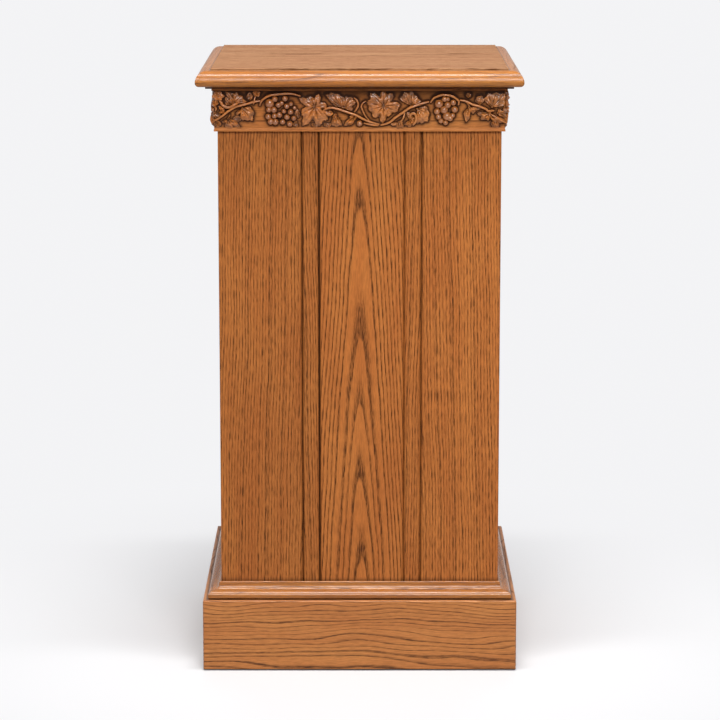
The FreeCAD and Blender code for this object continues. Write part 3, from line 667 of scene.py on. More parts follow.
# A carved leaf in millimetres, along the frieze from its middle and up from its foot: the root, how far the
# root stands off the column, how far the lobes swell, and for each lobe its heading in degrees and its reach.
# A lobe beside a bare back also has the angle in which its edge falls to the waist there.
Leaf = namedtuple("Leaf", "x z stand swell lobes")
LEAVES = (
    # The two large leaves
    Leaf(-56.2, 31.1, 6.6, 2.3, ((75, 17), (8, 15), (-45, 23), (-76, 25), (-124, 29), (-157, 19), (150, 23),
                                 (116, 14.5))),
    Leaf(30.8, 32.6, 6.6, 2.3, ((93, 19), (58, 19), (2, 21), (-24, 19), (-58, 14.5), (-94, 23),
                                (-134, 20.5), (-164, 20.5), (170, 22.5), (138, 23.5))),
    # Fans and small leaves between them
    Leaf(-21.8, 30.5, 6.4, 1.5, ((143, 27), (127, 24), (110, 18.5), (85, 13, 18), (160, 12, 16))),
    Leaf(-20.6, 30.5, 6.4, 1.5, ((75, 14, 14), (50, 17), (24, 18), (-15, 12.5, 22))),
    Leaf(-30.5, 21.5, 5.6, 2.4, ((-62, 16, 18), (-84, 16.5), (-106, 15), (-160, 3, 40))),
    Leaf(64.6, 33.5, 6.4, 1.6, ((147, 16.5, 18), (118, 18.5), (86, 17.5), (55, 13.5), (24, 14, 20))),
    Leaf(49.7, 11.8, 5.6, 1.8, ((-58, 9.5), (-98, 8.5), (-166, 11, 14), (20, 4, 50))),
    Leaf(64.6, 14.2, 5.2, 2.2, ((115, 11.5, 24), (55, 9.5), (10, 7), (-40, 7), (-104, 9), (-143, 10, 20))),
    Leaf(72.6, 28.7, 6.2, 2.0, ((8, 13, 20), (-22, 17.5), (-50, 21.5), (-72, 20), (-88, 19, 12))),
    Leaf(-6.5, 19.0, 6.4, 2.8, ((-137, 18), (-112, 12), (170, 5), (-60, 4), (60, 3))),
    # Right end
    Leaf(138.1, 30.6, 6.2, 1.8, ((-8, 15, 14), (-45, 9.5), (-102, 19.5), (-126, 11.5, 18))),
    Leaf(151.4, 34.8, 6.2, 1.6, ((140, 7, 30), (108, 10.5), (77, 11), (46, 8, 26))),
    Leaf(166.8, 31.3, 6.4, 1.7, ((132, 15, 18), (106, 18), (74, 19), (44, 24), (12, 17, 18))),
    Leaf(163.5, 23.0, 6.0, 2.4, ((-178, 15.5, 14), (-140, 13.5), (-112, 9), (-45, 18), (-28, 26, 12),
                                 (60, 4, 50))),
    Leaf(174.7, 23.6, 5.8, 1.8, ((70, 4.5, 40), (-4, 10), (-28, 14.5), (-60, 6, 24))),
    Leaf(171.1, 15.2, 5.6, 2.0, ((-128, 8.5, 20), (-104, 11), (-69, 12), (-42, 7, 22))),
    Leaf(136.7, 45.3, 7.6, 1.0, ((100, 4), (0, 4), (-100, 3), (180, 3))),
    # Left end
    Leaf(-158.9, 36.6, 6.6, 1.6, ((125, 17, 16), (98, 12), (71, 13.5), (36, 14), (4, 16.5, 18))),
    Leaf(-163.9, 34.8, 5.8, 1.2, ((121, 10), (70, 7), (15, 9, 24), (180, 5, 30))),
    Leaf(-183.1, 36.0, 6.2, 2.6, ((180, 5), (90, 4.5), (0, 5.5), (-90, 5))),
    Leaf(-174.4, 26.9, 6.0, 2.8, ((110, 6, 40), (-60, 6), (-120, 6, 35), (30, 4.5))),
    Leaf(-180.0, 17.2, 5.6, 1.6, ((-138, 10.5, 20), (136, 6, 30), (18, 6), (-80, 3.5))),
    Leaf(-179.1, 10.6, 5.2, 1.6, ((-90, 6.5), (-150, 5), (-30, 5), (90, 2.5))),
    Leaf(-165.7, 16.0, 6.0, 1.8, ((68, 6, 18), (-152, 9, 14), (-104, 12), (-76, 12.5), (-36, 19.5),
                                  (-20, 12, 12))),
    Leaf(-147.8, 29.3, 6.4, 2.0, ((-139, 11.5, 14), (-88, 15.5), (-68, 17.5), (-51, 21), (-22, 16.5),
                                  (6, 11, 18))),
    Leaf(-129.8, 48.3, 8.0, 1.4, ((90, 5), (18, 5), (162, 5), (-54, 5), (-126, 5))),
    # Low leaves behind the others
    Leaf(-154.6, 16.0, 4.4, 0.9, ((0, 6), (90, 4), (180, 5), (-90, 4))),
    Leaf(-178.5, 44.8, 8.8, 1.2, ((180, 8), (125, 7), (60, 7), (0, 8.5), (-55, 7), (-120, 7))),
    Leaf(-138.5, 43.8, 7.2, 0.9, ((90, 6), (-90, 5), (0, 4), (180, 4))),
    Leaf(-55.8, 8.8, 4.6, 0.9, ((-90, 4.5), (0, 5, 40), (180, 5, 40))),
    Leaf(-40.4, 8.8, 4.6, 0.9, ((-90, 4.5), (0, 5, 40), (180, 5, 40))),
    Leaf(-39.8, 23.9, 5.4, 0.9, ((-90, 5), (0, 6), (180, 6), (90, 4))),
    Leaf(-76.9, 22.7, 4.8, 1.0, ((120, 6, 40), (200, 5), (260, 5.5, 40))),
    Leaf(-80.0, 9.4, 4.6, 1.0, ((90, 4, 40), (200, 4), (-60, 4, 40))),
)

# Where a leaf has points: shares of the way from lobe to lobe along its edge, shares of the fall from a lobe
# to a bare back, and shares of the way out from its root
EDGE_SHARES = np.array([0, 0.035, 0.09, 0.16, 0.24, 0.32, 0.40, 0.46, 0.5, 0.54, 0.60, 0.68, 0.76, 0.84, 0.91,
                        0.965])
BACK_SHARES = np.array([0, 0.06, 0.2, 0.4, 0.6, 0.8, 0.95])
OUT_SHARES = np.array([0.1, 0.22, 0.34, 0.46, 0.58, 0.7, 0.8, 0.88, 0.93, 0.97, 1.0])[:, None]

# Lobes of a leaf, in millimetres and degrees: below what reach a lobe is small, from what reach its bays are
# cut in full, the widest gap that small and large lobes bridge, and the gaps over which bays deepen
SMALL_LOBE, FULL_LOBE = 8.6, 18
SMALL_BRIDGE, LARGE_BRIDGE = 125, 85
BAY_GAPS, BAY_DEPTHS = (28, 50), (0.06, 0.42)
BACK_WAIST = 1.6

# A stem or rolled rim in millimetres: its radius and the places that it passes
Stem = namedtuple("Stem", "girth places")
STEMS = (
    # The main stem from left to right, broken where it passes behind grapes and leaves
    Stem(1.5, ((-184.3, 13), (-173.2, 19.7), (-165.7, 25.7), (-156.5, 31.1), (-150.3, 32.9), (-141, 35.4),
               (-132.9, 37.8), (-124.9, 38.7))),
    Stem(1.4, ((-125.8, 32.9), (-123.7, 38.4), (-119.3, 42.6), (-113.1, 45.6), (-108.2, 46.5), (-92.4, 48),
               (-83.1, 47.4), (-74.4, 44.7))),
    Stem(1.5, ((-46.6, 25.1), (-42.2, 28.7), (-36, 30.2), (-27.4, 28.7), (-15, 24.5), (-4.6, 20.9),
               (5.8, 15.4), (15.1, 11.8), (25, 8.8))),
    Stem(1.6, ((26.2, 8.2), (36.7, 11.2), (46, 18.4), (54.1, 23.9), (62.7, 29.9), (70.8, 32.9), (80.1, 36),
               (87.4, 37.8))),
    Stem(1.4, ((89.4, 36.6), (93, 41.8), (98, 44.6), (104.4, 46.4), (112.3, 46), (118, 43.9), (122.4, 41.1),
               (124.9, 38.3), (124.5, 33.4))),
    Stem(1.5, ((126.7, 39.7), (133.8, 38.3), (143.1, 34.1), (151, 32), (159.6, 28.5), (161.8, 26.4),
               (169.7, 26.4))),
    # Side shoots and tendrils
    Stem(1.1, ((134.5, 37.6), (138.8, 31.3))),
    Stem(1.0, ((12, 14.2), (7, 20.3), (3.3, 28.1), (2.1, 32.3), (3.9, 36), (8.3, 38.7))),
    Stem(1.3, ((5.2, 10.6), (15.1, 8.8), (23.7, 7.3))),
    Stem(1.1, ((56.8, 23.9), (55.3, 17.8), (51.6, 11.8))),
    Stem(0.9, ((-131.7, 43.8), (-132.6, 38.4), (-133.9, 34.2))),
    Stem(1.1, ((-182.5, 32.3), (-180.9, 29.3), (-181.5, 26.3))),
    Stem(1.1, ((164, 22.9), (172.5, 17.9), (179.7, 13.8), (187.6, 10.6))),
    # Rolled rims and stalks of leaves
    Stem(1.6, ((-46, 25.1), (-42.2, 23.6), (-37.3, 21.2), (-33.6, 23.6))),
    Stem(1.2, ((-7.2, 42.6), (-3.5, 39.6), (-1.7, 34.2), (-3.5, 29.3), (-6.6, 24.5))),
    Stem(1.7, ((63.3, 17.8), (65.2, 22.1), (68.9, 22.7), (71.4, 19), (70.8, 13), (67.1, 8.2))),
    Stem(1.9, ((-176.9, 39.9), (-174.4, 36.6), (-171.9, 32.9), (-167, 30.8), (-161.4, 31.7), (-156.5, 34.8),
               (-153.4, 35.4))),
)

# Grapes in millimetres: place along, place up and radius
GRAPES = (
    # Left bunch
    (-113.4, 35.3, 6.1), (-108, 27.4, 4.1), (-114.4, 27.6, 3.6), (-115.3, 19, 3.8), (-107.5, 19.6, 3.6),
    (-101.1, 20.9, 3.8), (-112.1, 12.6, 4.1), (-106.2, 12, 4.1), (-106.8, 40.9, 3.8), (-94, 41.5, 3.6),
    (-102.4, 33.5, 3.5), (-98.1, 35.8, 3), (-91.9, 31.9, 3.5), (-86.7, 34.8, 3), (-81.9, 29.8, 2.5),
    (-95.5, 25.6, 3.1), (-87.1, 24.7, 3.6), (-91.6, 18.3, 3.8), (-82.9, 16.7, 3.3), (-97.2, 12.2, 3.6),
    (-88, 9.7, 3.8),
    # Right bunch
    (100.1, 34.7, 5.7), (107.1, 40.9, 3.8), (111, 40.9, 2.9), (118, 36.5, 3.8), (111, 33.4, 4.4),
    (97.6, 25.3, 4.2), (106.5, 27.2, 5.1), (119.9, 27.8, 4.4), (99.5, 18.5, 3.6), (110.3, 19.1, 5.7),
    (114.2, 16.6, 3.8), (102.7, 13.5, 3.4), (108.4, 11, 3.2), (117.4, 20.3, 3.2),
    # Single berries
    (-0.1, 10.3, 3.9), (183.1, 27.2, 2.8),
)


def bell(value, peak, width):
    """A smooth rise to one at a peak."""
    return np.exp(-((value - peak) / width) ** 2)


def ground_stand(height):
    """How far the frieze's ground stands off the column at a height, in millimetres."""
    return np.interp(height, BOARD_HEIGHTS, BOARD_STANDS)


def on_frieze(along, stand, height):
    """Points in metres on the front from places in millimetres, kept behind the mitres of the corners."""
    shy, give = 0.2, 0.01
    along, stand, height = (np.ravel(item) for item in np.broadcast_arrays(along, stand, height))
    reach = HALF_COLUMN / MM + stand - shy
    held = np.clip(along, -reach, reach)
    held = held + give * (along - held)
    return np.column_stack([held, -HALF_COLUMN / MM - stand, FRIEZE_FOOT / MM + height]) * MM


def mark(mesh, name, values):
    """Give every point of a mesh a number under a name."""
    mesh.attributes.new(name, "FLOAT", "POINT").data.foreach_set("value", np.asarray(values, dtype=np.float32))


def stain(mesh, amounts):
    """Mark how much old stain and painted shade each point of a mesh holds."""
    mark(mesh, "stain", np.clip(amounts, 0, 1))


def stain_and_shade_by_depth(mesh, fade):
    """Darken with old stain and painted shade the points of a carved mesh that lie near or under the frieze's
    ground.
    """
    places = np.array([vertex.co for vertex in mesh.vertices]) / MM
    height = places[:, 2] - FRIEZE_FOOT / MM
    over = -places[:, 1] - HALF_COLUMN / MM - ground_stand(height)
    stain(mesh, np.exp(-np.maximum(over, 0) / fade))


def blade_edge(lobe, after):
    """The toothed edge of a leaf from the tip of a lobe to the next: angles, reaches, how near a bay each point
    is and how deep that bay is cut; lobes that stand close share one shallow bay."""
    least_cut, bay_sharpness, tooth_depth = 0.3, 2.8, 0.06
    heading, tip = lobe[:2]
    gap, rise = after[0] - heading, after[1] - tip
    cut = np.interp(gap, BAY_GAPS, BAY_DEPTHS) * np.clip(max(tip, after[1]) / FULL_LOBE, least_cut, 1)
    bays = 1 - cut * np.sin(math.pi * EDGE_SHARES) ** bay_sharpness
    teeth = 1 - tooth_depth * np.sin(4 * math.pi * EDGE_SHARES) ** 2
    reach = (tip + rise * EDGE_SHARES) * bays * teeth
    return heading + gap * EDGE_SHARES, reach, 1 - np.abs(2 * EDGE_SHARES - 1), np.full(len(EDGE_SHARES), cut)


def bare_edge(lobe, after):
    """The edge of a fan across its back, where no lobe stands: it falls to a narrow waist and rises again."""
    (heading, tip, spread), (next_heading, next_tip, next_spread) = lobe, after
    slope = np.cos(BACK_SHARES * math.pi / 2) ** 0.8
    level = np.ones(6)
    across = np.linspace(heading + spread, next_heading - next_spread, len(level))
    far_side = next_heading - next_spread * BACK_SHARES
    far_reach = BACK_WAIST + (next_tip - BACK_WAIST) * slope
    angles = np.concatenate([heading + spread * BACK_SHARES, across, far_side[:0:-1]])
    reach = np.concatenate([BACK_WAIST + (tip - BACK_WAIST) * slope, BACK_WAIST * level, far_reach[:0:-1]])
    bay = np.concatenate([BACK_SHARES, level, BACK_SHARES[:0:-1]])
    return angles, reach, bay, np.zeros(len(angles))


def leaf_outline(leaf):
    """Angles round a leaf, its reach there, how near each is to a vein (0) or a bay (1) and the bay's depth."""
    lobes = sorted(leaf.lobes)
    edges = []
    for lobe, after in zip(lobes, lobes[1:] + [(lobes[0][0] + 360, *lobes[0][1:])]):
        bridge = SMALL_BRIDGE if max(lobe[1], after[1]) < SMALL_LOBE else LARGE_BRIDGE
        edge = blade_edge if after[0] - lobe[0] < bridge else bare_edge
        edges.append(edge(lobe, after))
    angles, reach, bay, cut = (np.concatenate(column) for column in zip(*edges))
    return np.radians(angles), reach, bay, cut


def dent(along, height):
    """The uneven surface that a carver's gouge leaves, from -1 to 1."""
    dents_per_mm = 0.22
    return noise.noise((along * dents_per_mm, height * dents_per_mm, 1.3))


def leaf_surface(leaf, carving, along, height, outline):
    """How far the points of a leaf stand off the column, and how much stain and painted shade they hold: veins
    and the clefts of the bays are cut in, a rim stands up by the edge, pads swell between the veins, puffs fill
    the lower lobes and the gouge leaves dents."""
    base_drop, dent_depth, rim_height, least_stand = 1.3, 1.5, 0.6, 0.7
    raised_foot, raised_head = 0.8, 5.0
    angles, bay, cut = outline
    out = OUT_SHARES
    vein = bell(bay, peak=0, width=0.1) * (1 - 0.85 * out)
    cleft = bell(bay, peak=1, width=0.2) * np.interp(out, (0.55, 1), (0, 1)) * cut / 0.4
    rim = bell(out, peak=0.93, width=0.05)
    pads = (0.55 + 0.45 * np.sin(math.pi * bay / 2)) * np.sin(math.pi * out ** 0.8)
    puffs = 1.1 * np.clip(-np.sin(angles), 0, 1) * bell(out, peak=0.62, width=0.18)
    dents = np.vectorize(dent)(along, height)
    stand = leaf.stand - base_drop + leaf.swell * (pads + puffs) + dent_depth * dents + rim_height * rim
    stand = stand - carving.vein_depth / MM * (vein + cleft) - carving.rim_drop / MM * out ** 5
    ground = ground_stand(height)
    stand = np.clip(stand, ground + least_stand, carving.full_relief / MM)
    raised_share = np.interp(stand - ground, (raised_foot, raised_head), (0, 1))
    # Low relief, veins, clefts and the root darken with old stain and painted shade; a painted highlight
    # lightens the rim; the dents vary the tone
    shade = 0.6 * (1 - raised_share) + 0.45 * vein + 0.8 * cleft + 0.2 * (1 - out) ** 2 - 0.25 * rim - 0.35 * dents
    return stand, shade


def leaf_shell(leaf, carving):
    """Points, faces, stain with painted shade, and rim of a leaf that swells in its lobes and falls steeply to
    the ground.
    """
    rim_inset, rim_sunk, back_sunk = 0.5, 0.5, 0.6
    angles, reach, bay, cut = leaf_outline(leaf)
    rise, fall = np.maximum(np.sin(angles), 0.01), np.maximum(-np.sin(angles), 0.01)
    reach = np.minimum(reach, np.minimum((CARVED_HEAD - leaf.z) / rise, (leaf.z - CARVED_FOOT) / fall))

    def outward(share):
        """Places along and up the frieze at a share of the way from the root to the rim."""
        return leaf.x + share * reach * np.cos(angles), leaf.z + share * reach * np.sin(angles)

    along, height = outward(OUT_SHARES)
    stand, shade = leaf_surface(leaf, carving, along, height, (angles, bay, cut))
    foot_along, foot_height = outward(1 - rim_inset / reach)
    points = np.vstack([
        on_frieze(leaf.x, leaf.stand - 0.5 * carving.vein_depth / MM, leaf.z),
        on_frieze(along, stand, height),
        on_frieze(foot_along, ground_stand(foot_height) - rim_sunk, foot_height),
        on_frieze(leaf.x, ground_stand(leaf.z) - back_sunk, leaf.z)])
    count, back = len(angles), len(points) - 1
    faces = bands(count, len(OUT_SHARES) + 1, first=1)
    faces += [(pole, first + index, first + (index + 1) % count)
              for pole, first in ((0, 1), (back, back - count)) for index in range(count)]
    # The root, the foot of each leaf's wall and its back are darkened almost fully or fully as painted shade
    amounts = np.concatenate([[0.9], shade.ravel(), np.ones(count + 1)])
    return points, faces, amounts, np.column_stack([along[-1], height[-1]])


def vine_leaves(material, carving):
    """The leaves of the front as one piece, and the places of their rims."""
    points, faces, amounts, rims = [], [], [], []
    start = 0
    for leaf in LEAVES:
        shell, loops, shade, rim = leaf_shell(leaf, carving)
        points.append(shell)
        faces += [tuple(start + index for index in loop) for loop in loops]
        amounts.append(shade)
        rims.append(rim)
        start += len(shell)
    piece = mesh_piece("front_vine_leaves", np.vstack(points), faces, material, math.radians(60))
    stain(piece.data, np.concatenate(amounts))
    return piece, np.vstack(rims)


class Growth(Nodes):
    """A Geometry Nodes tree that grows a piece on guide points, each with a girth of its own."""

    def __init__(self, name, **inputs):
        super().__init__(bpy.data.node_groups.new(name, "GeometryNodeTree"))
        sockets = {"Geometry": "NodeSocketGeometry", **inputs, "Material": "NodeSocketMaterial"}
        for label, kind in sockets.items():
            self.tree.interface.new_socket(label, in_out="INPUT", socket_type=kind)
        self.tree.interface.new_socket("Geometry", in_out="OUTPUT", socket_type="NodeSocketGeometry")
        self.start = self.node("NodeGroupInput")
        girth = self.node("GeometryNodeInputNamedAttribute", {"Name": "girth"}, data_type="FLOAT")
        self.girth = girth.outputs["Attribute"]

    def finished(self, shape):
        """End the tree with realized, smooth geometry in its material."""
        real = self.node("GeometryNodeRealizeInstances", {0: shape.outputs[0]})
        smooth = self.node("GeometryNodeSetShadeSmooth", {0: real.outputs[0]})
        coat = self.node("GeometryNodeSetMaterial",
                         {0: smooth.outputs[0], "Material": self.start.outputs["Material"]})
        self.node("NodeGroupOutput", {0: coat.outputs[0]})
        return self.tree


def grape_tree():
    """Grapes on points, each as large as its girth."""
    growth = Growth("Grapes", Facets="NodeSocketInt")
    facets = growth.start.outputs["Facets"]
    ball = growth.node("GeometryNodeMeshUVSphere", {
        "Segments": facets, "Rings": growth.calc("MULTIPLY", facets, 0.6), "Radius": 1.0})
    return growth.finished(growth.node("GeometryNodeInstanceOnPoints", {
        "Points": growth.start.outputs["Geometry"], "Instance": ball.outputs["Mesh"], "Scale": growth.girth}))


def stem_tree():
    """Stems along curves through their places, round in front and with a web behind that reaches the ground."""
    growth = Growth("Stems", Web="NodeSocketFloat")
    ring = growth.node("GeometryNodeCurvePrimitiveCircle", {"Resolution": 14, "Radius": 1.0})
    place = growth.node("ShaderNodeSeparateXYZ", {0: growth.node("GeometryNodeInputPosition").outputs[0]})
    behind = growth.calc("MINIMUM", place.outputs["X"], 0.0)
    deeper = growth.node("ShaderNodeCombineXYZ", {
        "X": growth.calc("MULTIPLY", behind, growth.start.outputs["Web"])})
    webbed = growth.node("GeometryNodeSetPosition", {"Geometry": ring.outputs[0], "Offset": deeper.outputs[0]})
    line = growth.node("GeometryNodeMeshToCurve", {0: growth.start.outputs["Geometry"]})
    smooth = growth.node("GeometryNodeCurveSplineType", {0: line.outputs[0]}, spline_type="CATMULL_ROM")
    finer = growth.node("GeometryNodeSetSplineResolution", {0: smooth.outputs[0], "Resolution": 8})
    facing = growth.node("GeometryNodeSetCurveNormal", {0: finer.outputs[0], "Normal": (0, -1, 0)}, mode="FREE")
    return growth.finished(growth.node("GeometryNodeCurveToMesh", {
        0: facing.outputs[0], "Profile Curve": webbed.outputs[0], "Scale": growth.girth, "Fill Caps": True}))


def grown(name, places, edges, girths, tree, values):
    """A piece that a tree grows on guide points, baked to a plain mesh with closed seams."""
    mesh = bpy.data.meshes.new(name)
    mesh.from_pydata([tuple(place) for place in places], edges, [])
    mark(mesh, "girth", girths)
    piece = linked(name, mesh)
    modifier = piece.modifiers.new(name, "NODES")
    modifier.node_group = tree
    for item in tree.interface.items_tree:
        if item.name in values:
            modifier[item.identifier] = values[item.name]
    return closed(baked(piece))


def vine_grapes(material, carving):
    """The grapes of the front."""
    along, height, girth = np.array(GRAPES).T
    stand = np.minimum(carving.full_relief / MM - girth, ground_stand(height) + carving.grape_stand * girth)
    piece = grown("front_grapes", on_frieze(along, stand, height), [], girth * MM, grape_tree(),
                  {"Facets": 20, "Material": material})
    # Old stain and painted shade darken the grapes' lower parts near the ground
    stain_and_shade_by_depth(piece.data, fade=1.0)
    return piece


def vine_stems(material, carving):
    """The stems of the front, thinner and lower at their ends."""
    top, end_drop, end_girth = carving.full_relief / MM - 0.5, 1.6, 0.7
    places, edges, girths = [], [], []
    for stem in STEMS:
        along, height = np.array(stem.places, dtype=float).T
        swell = np.sin(np.linspace(0, math.pi, len(along))) ** 0.5
        stand = np.maximum(top - stem.girth - end_drop * (1 - swell), ground_stand(height))
        first = len(girths)
        edges += [(first + index, first + index + 1) for index in range(len(along) - 1)]
        places += list(on_frieze(along, stand, height))
        girths += list(stem.girth * (end_girth + (1 - end_girth) * swell) * MM)
    piece = grown("front_vine_stems", places, edges, girths, stem_tree(),
                  {"Web": carving.stem_web - 1, "Material": material})
    # Old stain and painted shade darken the stems near the ground
    stain_and_shade_by_depth(piece.data, fade=2.6)
    return piece


def ground_stain_and_shade(height, near):
    """Old stain and painted shade on the frieze's ground: painted shade in a thin line over its band and under
    the top, old stain and painted shade round the carving.
    """
    shade_foot, shade_rise = 34, 15
    quirk_shade = 0.95 * bell(height, peak=13.2, width=0.7)
    hollow = 0.8 * bell(near, peak=0, width=2.4) + 0.35 * math.exp(-near / 6)
    # Painted shade under the top grows with height
    return max(hollow, quirk_shade) + 0.6 * max((height - shade_foot) / shade_rise, 0)


def frieze_board(material, rims):
    """The front's frieze board with mitred ends and a tooled ground, darkened with old stain and painted shade
    round the carving's rims.
    """
    columns, tooled_foot, chip_depth, shy = 320, 5, 0.22, 0.05
    head = BOARD_HEIGHTS[-1]
    face = np.concatenate([np.arange(0, 12.6, 0.9), np.arange(12.6, 14, 0.35), np.arange(14.4, head, 0.95),
                           [head]])
    heights = np.concatenate([face, [head, 0.0]])
    stands = np.concatenate([ground_stand(face), [0.0, 0.0]])
    tree = KDTree(len(rims))
    for index, (along, height) in enumerate(rims):
        tree.insert((along, height, 0), index)
    tree.balance()
    points, amounts = [], []
    for share in np.linspace(-1, 1, columns + 1):
        for height, stand in zip(heights, stands):
            along = share * (HALF_COLUMN / MM + stand - shy)
            tooled = tooled_foot < height < head and abs(share) < 1
            chip = chip_depth * noise.noise((along * 0.35, height * 0.45, 3.7)) if tooled else 0.0
            points.append((along * MM, -HALF_COLUMN - (stand + chip) * MM, FRIEZE_FOOT + height * MM))
            amounts.append(ground_stain_and_shade(height, tree.find((along, height, 0))[2]) if tooled else 0.0)
    piece = mesh_piece("front_frieze_board", points, capped(len(heights), columns + 1), material)
    stain(piece.data, amounts)
    return piece


def turned_copy(piece, side, material):
    """A copy of a front piece on another side, in that side's finish."""
    mesh = piece.data.copy()
    mesh.transform(quarter_turn(side))
    mesh.materials[0] = material
    return linked(piece.name.replace("front", side), mesh)


class STAND_OT_frieze(bpy.types.Operator):
    """Carve the vine frieze and turn it to the four sides"""
    bl_idname = "plant_stand.frieze"
    bl_label = "Carve the frieze"

    def execute(self, context):
        carving = context.scene.stand_vine
        ground = Cut(beside=-30, below=45, ring=4.0, wander=22, rings=0.3, pores=0.25,
                     tone=(1.1, 1.2, 1.35), marked=0.97, gloss=0.1, rough=0.4)
        vine = ground._replace(tone=(1.3, 1.4, 1.5), gloss=0.5, rough=0.16)
        grape = vine._replace(tone=(0.82, 0.84, 0.86), gloss=1.0, rough=0.12)
        finishes = {(part, side): oak(f"oak_{side}_{part}", side, "level", middle(f"{side}_frieze"), cut,
                                      7000 + 800 * turns)
                    for part, cut in (("ground", ground), ("vine", vine), ("grape", grape))
                    for turns, side in enumerate(SIDES)}
        leaves, rims = vine_leaves(finishes["vine", "front"], carving)
        stems = vine_stems(finishes["vine", "front"], carving)
        grapes = vine_grapes(finishes["grape", "front"], carving)
        marks = np.array([vertex.co for piece in (stems, grapes) for vertex in piece.data.vertices]) / MM
        marks = marks[:, (0, 2)] - (0, FRIEZE_FOOT / MM)
        board = frieze_board(finishes["ground", "front"], np.vstack([rims, marks]))
        for side in SIDES:
            for part, piece in (("ground", board), ("vine", leaves), ("vine", stems), ("grape", grapes)):
                copy = piece if side == "front" else turned_copy(piece, side, finishes[part, side])
                fit(copy, "oak_frieze", *([f"{side}_frieze"] if piece is board else []))
        return {"FINISHED"}


# The stage

# How bright the surround shows to the camera, where 1 is white, and its tint
SEEN_STRENGTH = 0.93
SURROUND_TINT = (0.99, 0.99, 1.0, 1)
# Where the mirrored room ends and the mirrored backdrop starts, from the camera's side (-1) to the back (1)
ROOM_END, BACKDROP_START = -0.6, 0.2
# Half the floor's width, and how far from the stand it starts and ends to fade to its far colour, in metres
HALF_FLOOR = 60.0
FADE_START, FADE_END = 0.05, 0.9


def seen_rays(finish):
    """One for rays that show the floor to the eye, straight or in a gloss, and zero for light rays."""
    rays = finish.node("ShaderNodeLightPath").outputs
    seen = finish.calc("MAXIMUM", rays["Is Camera Ray"], rays["Is Glossy Ray"])
    return finish.calc("MAXIMUM", seen, rays["Is Transmission Ray"])


def set_floor(stage):
    """A wide pale floor that takes the shadow near the stand and fades to the surround far away."""
    finish = Finish("paper_floor")
    away = finish.node("ShaderNodeVectorMath", {0: finish.place()}, operation="LENGTH").outputs["Value"]
    seen = seen_rays(finish)
    far = finish.calc("MULTIPLY", finish.span(away, FADE_START, FADE_END), seen)
    bounce = finish.node("ShaderNodeBsdfDiffuse", {"Color": (*stage.bounce_colour, 1)})
    paper = finish.node("ShaderNodeBsdfDiffuse", {"Color": (*stage.floor_colour, 1)})
    glow = finish.node("ShaderNodeEmission", {"Color": (*stage.far_colour, 1)})
    near = finish.node("ShaderNodeMixShader", {0: seen, 1: bounce.outputs[0], 2: paper.outputs[0]})
    paling = finish.node("ShaderNodeMixShader", {0: far, 1: near.outputs[0], 2: glow.outputs[0]})
    corners = [(across * HALF_FLOOR, deep * HALF_FLOOR, 0) for across, deep in CORNERS]
    floor = mesh_piece("floor", corners, [(0, 1, 2, 3)], finish.surface(paling))


def set_surround(scene, stage):
    """An even white surround that lights softly, shows pale and is dim behind the camera in the gloss."""
    world = bpy.data.worlds.new("surround")
    world.use_nodes = True
    scene.world = world
    sky = Nodes(world.node_tree)
    rays = sky.node("ShaderNodeLightPath").outputs
    heading = sky.node("ShaderNodeSeparateXYZ", {0: sky.node("ShaderNodeTexCoord").outputs["Generated"]})
    mirrored = sky.span(heading.outputs["Y"], ROOM_END, BACKDROP_START, stage.room_strength,
                        stage.mirror_strength, easing="LINEAR")
    unseen = sky.span(rays["Is Glossy Ray"], 0.0, 1.0, stage.sky_strength, mirrored, easing="LINEAR")
    seen = sky.calc("MAXIMUM", rays["Is Camera Ray"], rays["Is Transmission Ray"])
    strength = sky.span(seen, 0.0, 1.0, unseen, SEEN_STRENGTH, easing="LINEAR")
    light = sky.node("ShaderNodeBackground", {"Color": SURROUND_TINT, "Strength": strength})
    sky.node("ShaderNodeOutputWorld", {"Surface": light.outputs[0]})


def set_lamp(name, place, aim, size, power, mirrored=True):
    """A soft rectangular lamp that shines at a point and may be mirrored in the varnish."""
    lamp = bpy.data.lights.new(name, "AREA")
    lamp.shape = "RECTANGLE"
    lamp.size, lamp.size_y = size
    lamp.energy = power
    holder = linked(name, lamp)
    holder.location = place
    holder.rotation_euler = (Vector(aim) - Vector(place)).to_track_quat("-Z", "Y").to_euler()
    holder.visible_camera = False
    holder.visible_glossy = mirrored


def set_camera(scene, stage):
    """The camera at its place in front of the stand, tilted down."""
    camera = bpy.data.cameras.new("camera")
    camera.lens = stage.camera_lens
    camera.sensor_width = 36
    camera.clip_end = 200
    holder = linked("camera", camera)
    holder.location = stage.camera_place
    holder.rotation_euler = (RIGHT_ANGLE - stage.camera_pitch, 0, 0)
    scene.camera = holder


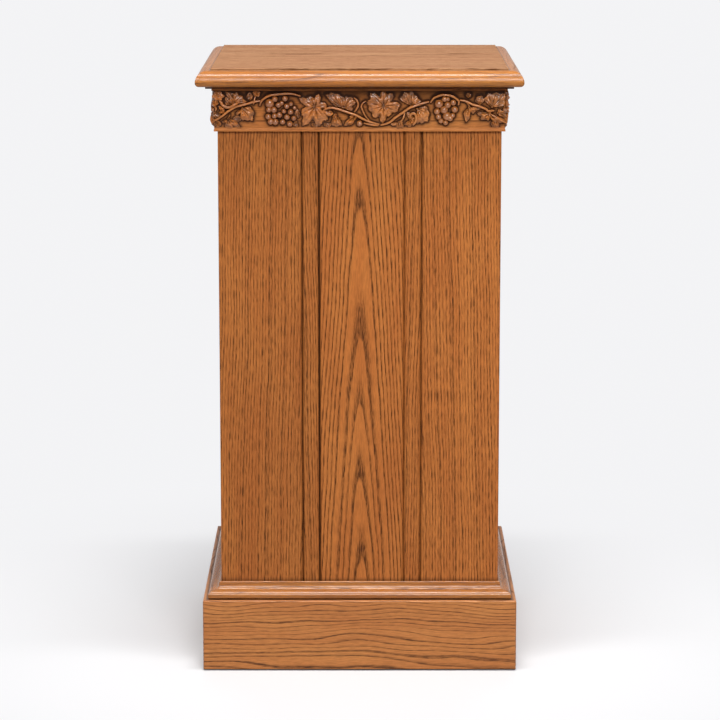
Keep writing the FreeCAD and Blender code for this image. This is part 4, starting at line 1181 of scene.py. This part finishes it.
class STAND_OT_stage(bpy.types.Operator):
    """Set the floor, the surround, the lamps and the camera"""
    bl_idname = "plant_stand.stage"
    bl_label = "Set the stage"

    def execute(self, context):
        scene = context.scene
        stage = scene.stand_stage
        scene.view_settings.view_transform = "Standard"
        set_floor(stage)
        set_surround(scene, stage)
        set_lamp("key_lamp", (0.2, -2.7, 2.35), (0, 0, 0.45), (1.5, 1.1), stage.key_power)
        set_lamp("fill_lamp", (0.0, -2.6, 3.6), (0, 0, 0.4), (4.0, 2.6), stage.fill_power)
        set_lamp("back_lamp", (0, 2.4, 3.0), (0, 0, 0.4), (2.0, 1.5), stage.back_power, mirrored=False)
        set_lamp("strip_lamp", (0.05, -0.5, 2.5), (0, -0.15, 0.5), (1.0, 0.2), stage.strip_power)
        set_camera(scene, stage)
        return {"FINISHED"}


STEPS = (STAND_OT_boards, STAND_OT_inner_wood, STAND_OT_steel, STAND_OT_plinth, STAND_OT_base_moulding,
         STAND_OT_top_edge, STAND_OT_top, STAND_OT_frieze, STAND_OT_stage)
VALUES = {"stand_oak": OakFinish, "stand_vine": VineCarving, "stand_stage": StudioStage}


class VIEW3D_PT_plant_stand(bpy.types.Panel):
    """The stand's steps and values in the sidebar"""
    bl_label = "Plant stand"
    bl_space_type = "VIEW_3D"
    bl_region_type = "UI"
    bl_category = "Plant stand"

    def draw(self, context):
        for step in STEPS:
            self.layout.operator(step.bl_idname)
        for name in VALUES:
            group = getattr(context.scene, name)
            for key in group.bl_rna.properties.keys():
                if key not in {"rna_type", "name"}:
                    self.layout.prop(group, key)


def register():
    for group in VALUES.values():
        bpy.utils.register_class(group)
    for item in (*STEPS, VIEW3D_PT_plant_stand):
        bpy.utils.register_class(item)
    for name, group in VALUES.items():
        setattr(bpy.types.Scene, name, bpy.props.PointerProperty(type=group))


def unregister():
    for name in VALUES:
        delattr(bpy.types.Scene, name)
    for item in (VIEW3D_PT_plant_stand, *reversed(STEPS), *VALUES.values()):
        bpy.utils.unregister_class(item)


def main():
    """Register the add-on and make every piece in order."""
    register()
    for step in STEPS:
        group, name = step.bl_idname.split(".")
        getattr(getattr(bpy.ops, group), name)()


if __name__ == "__main__":
    main()
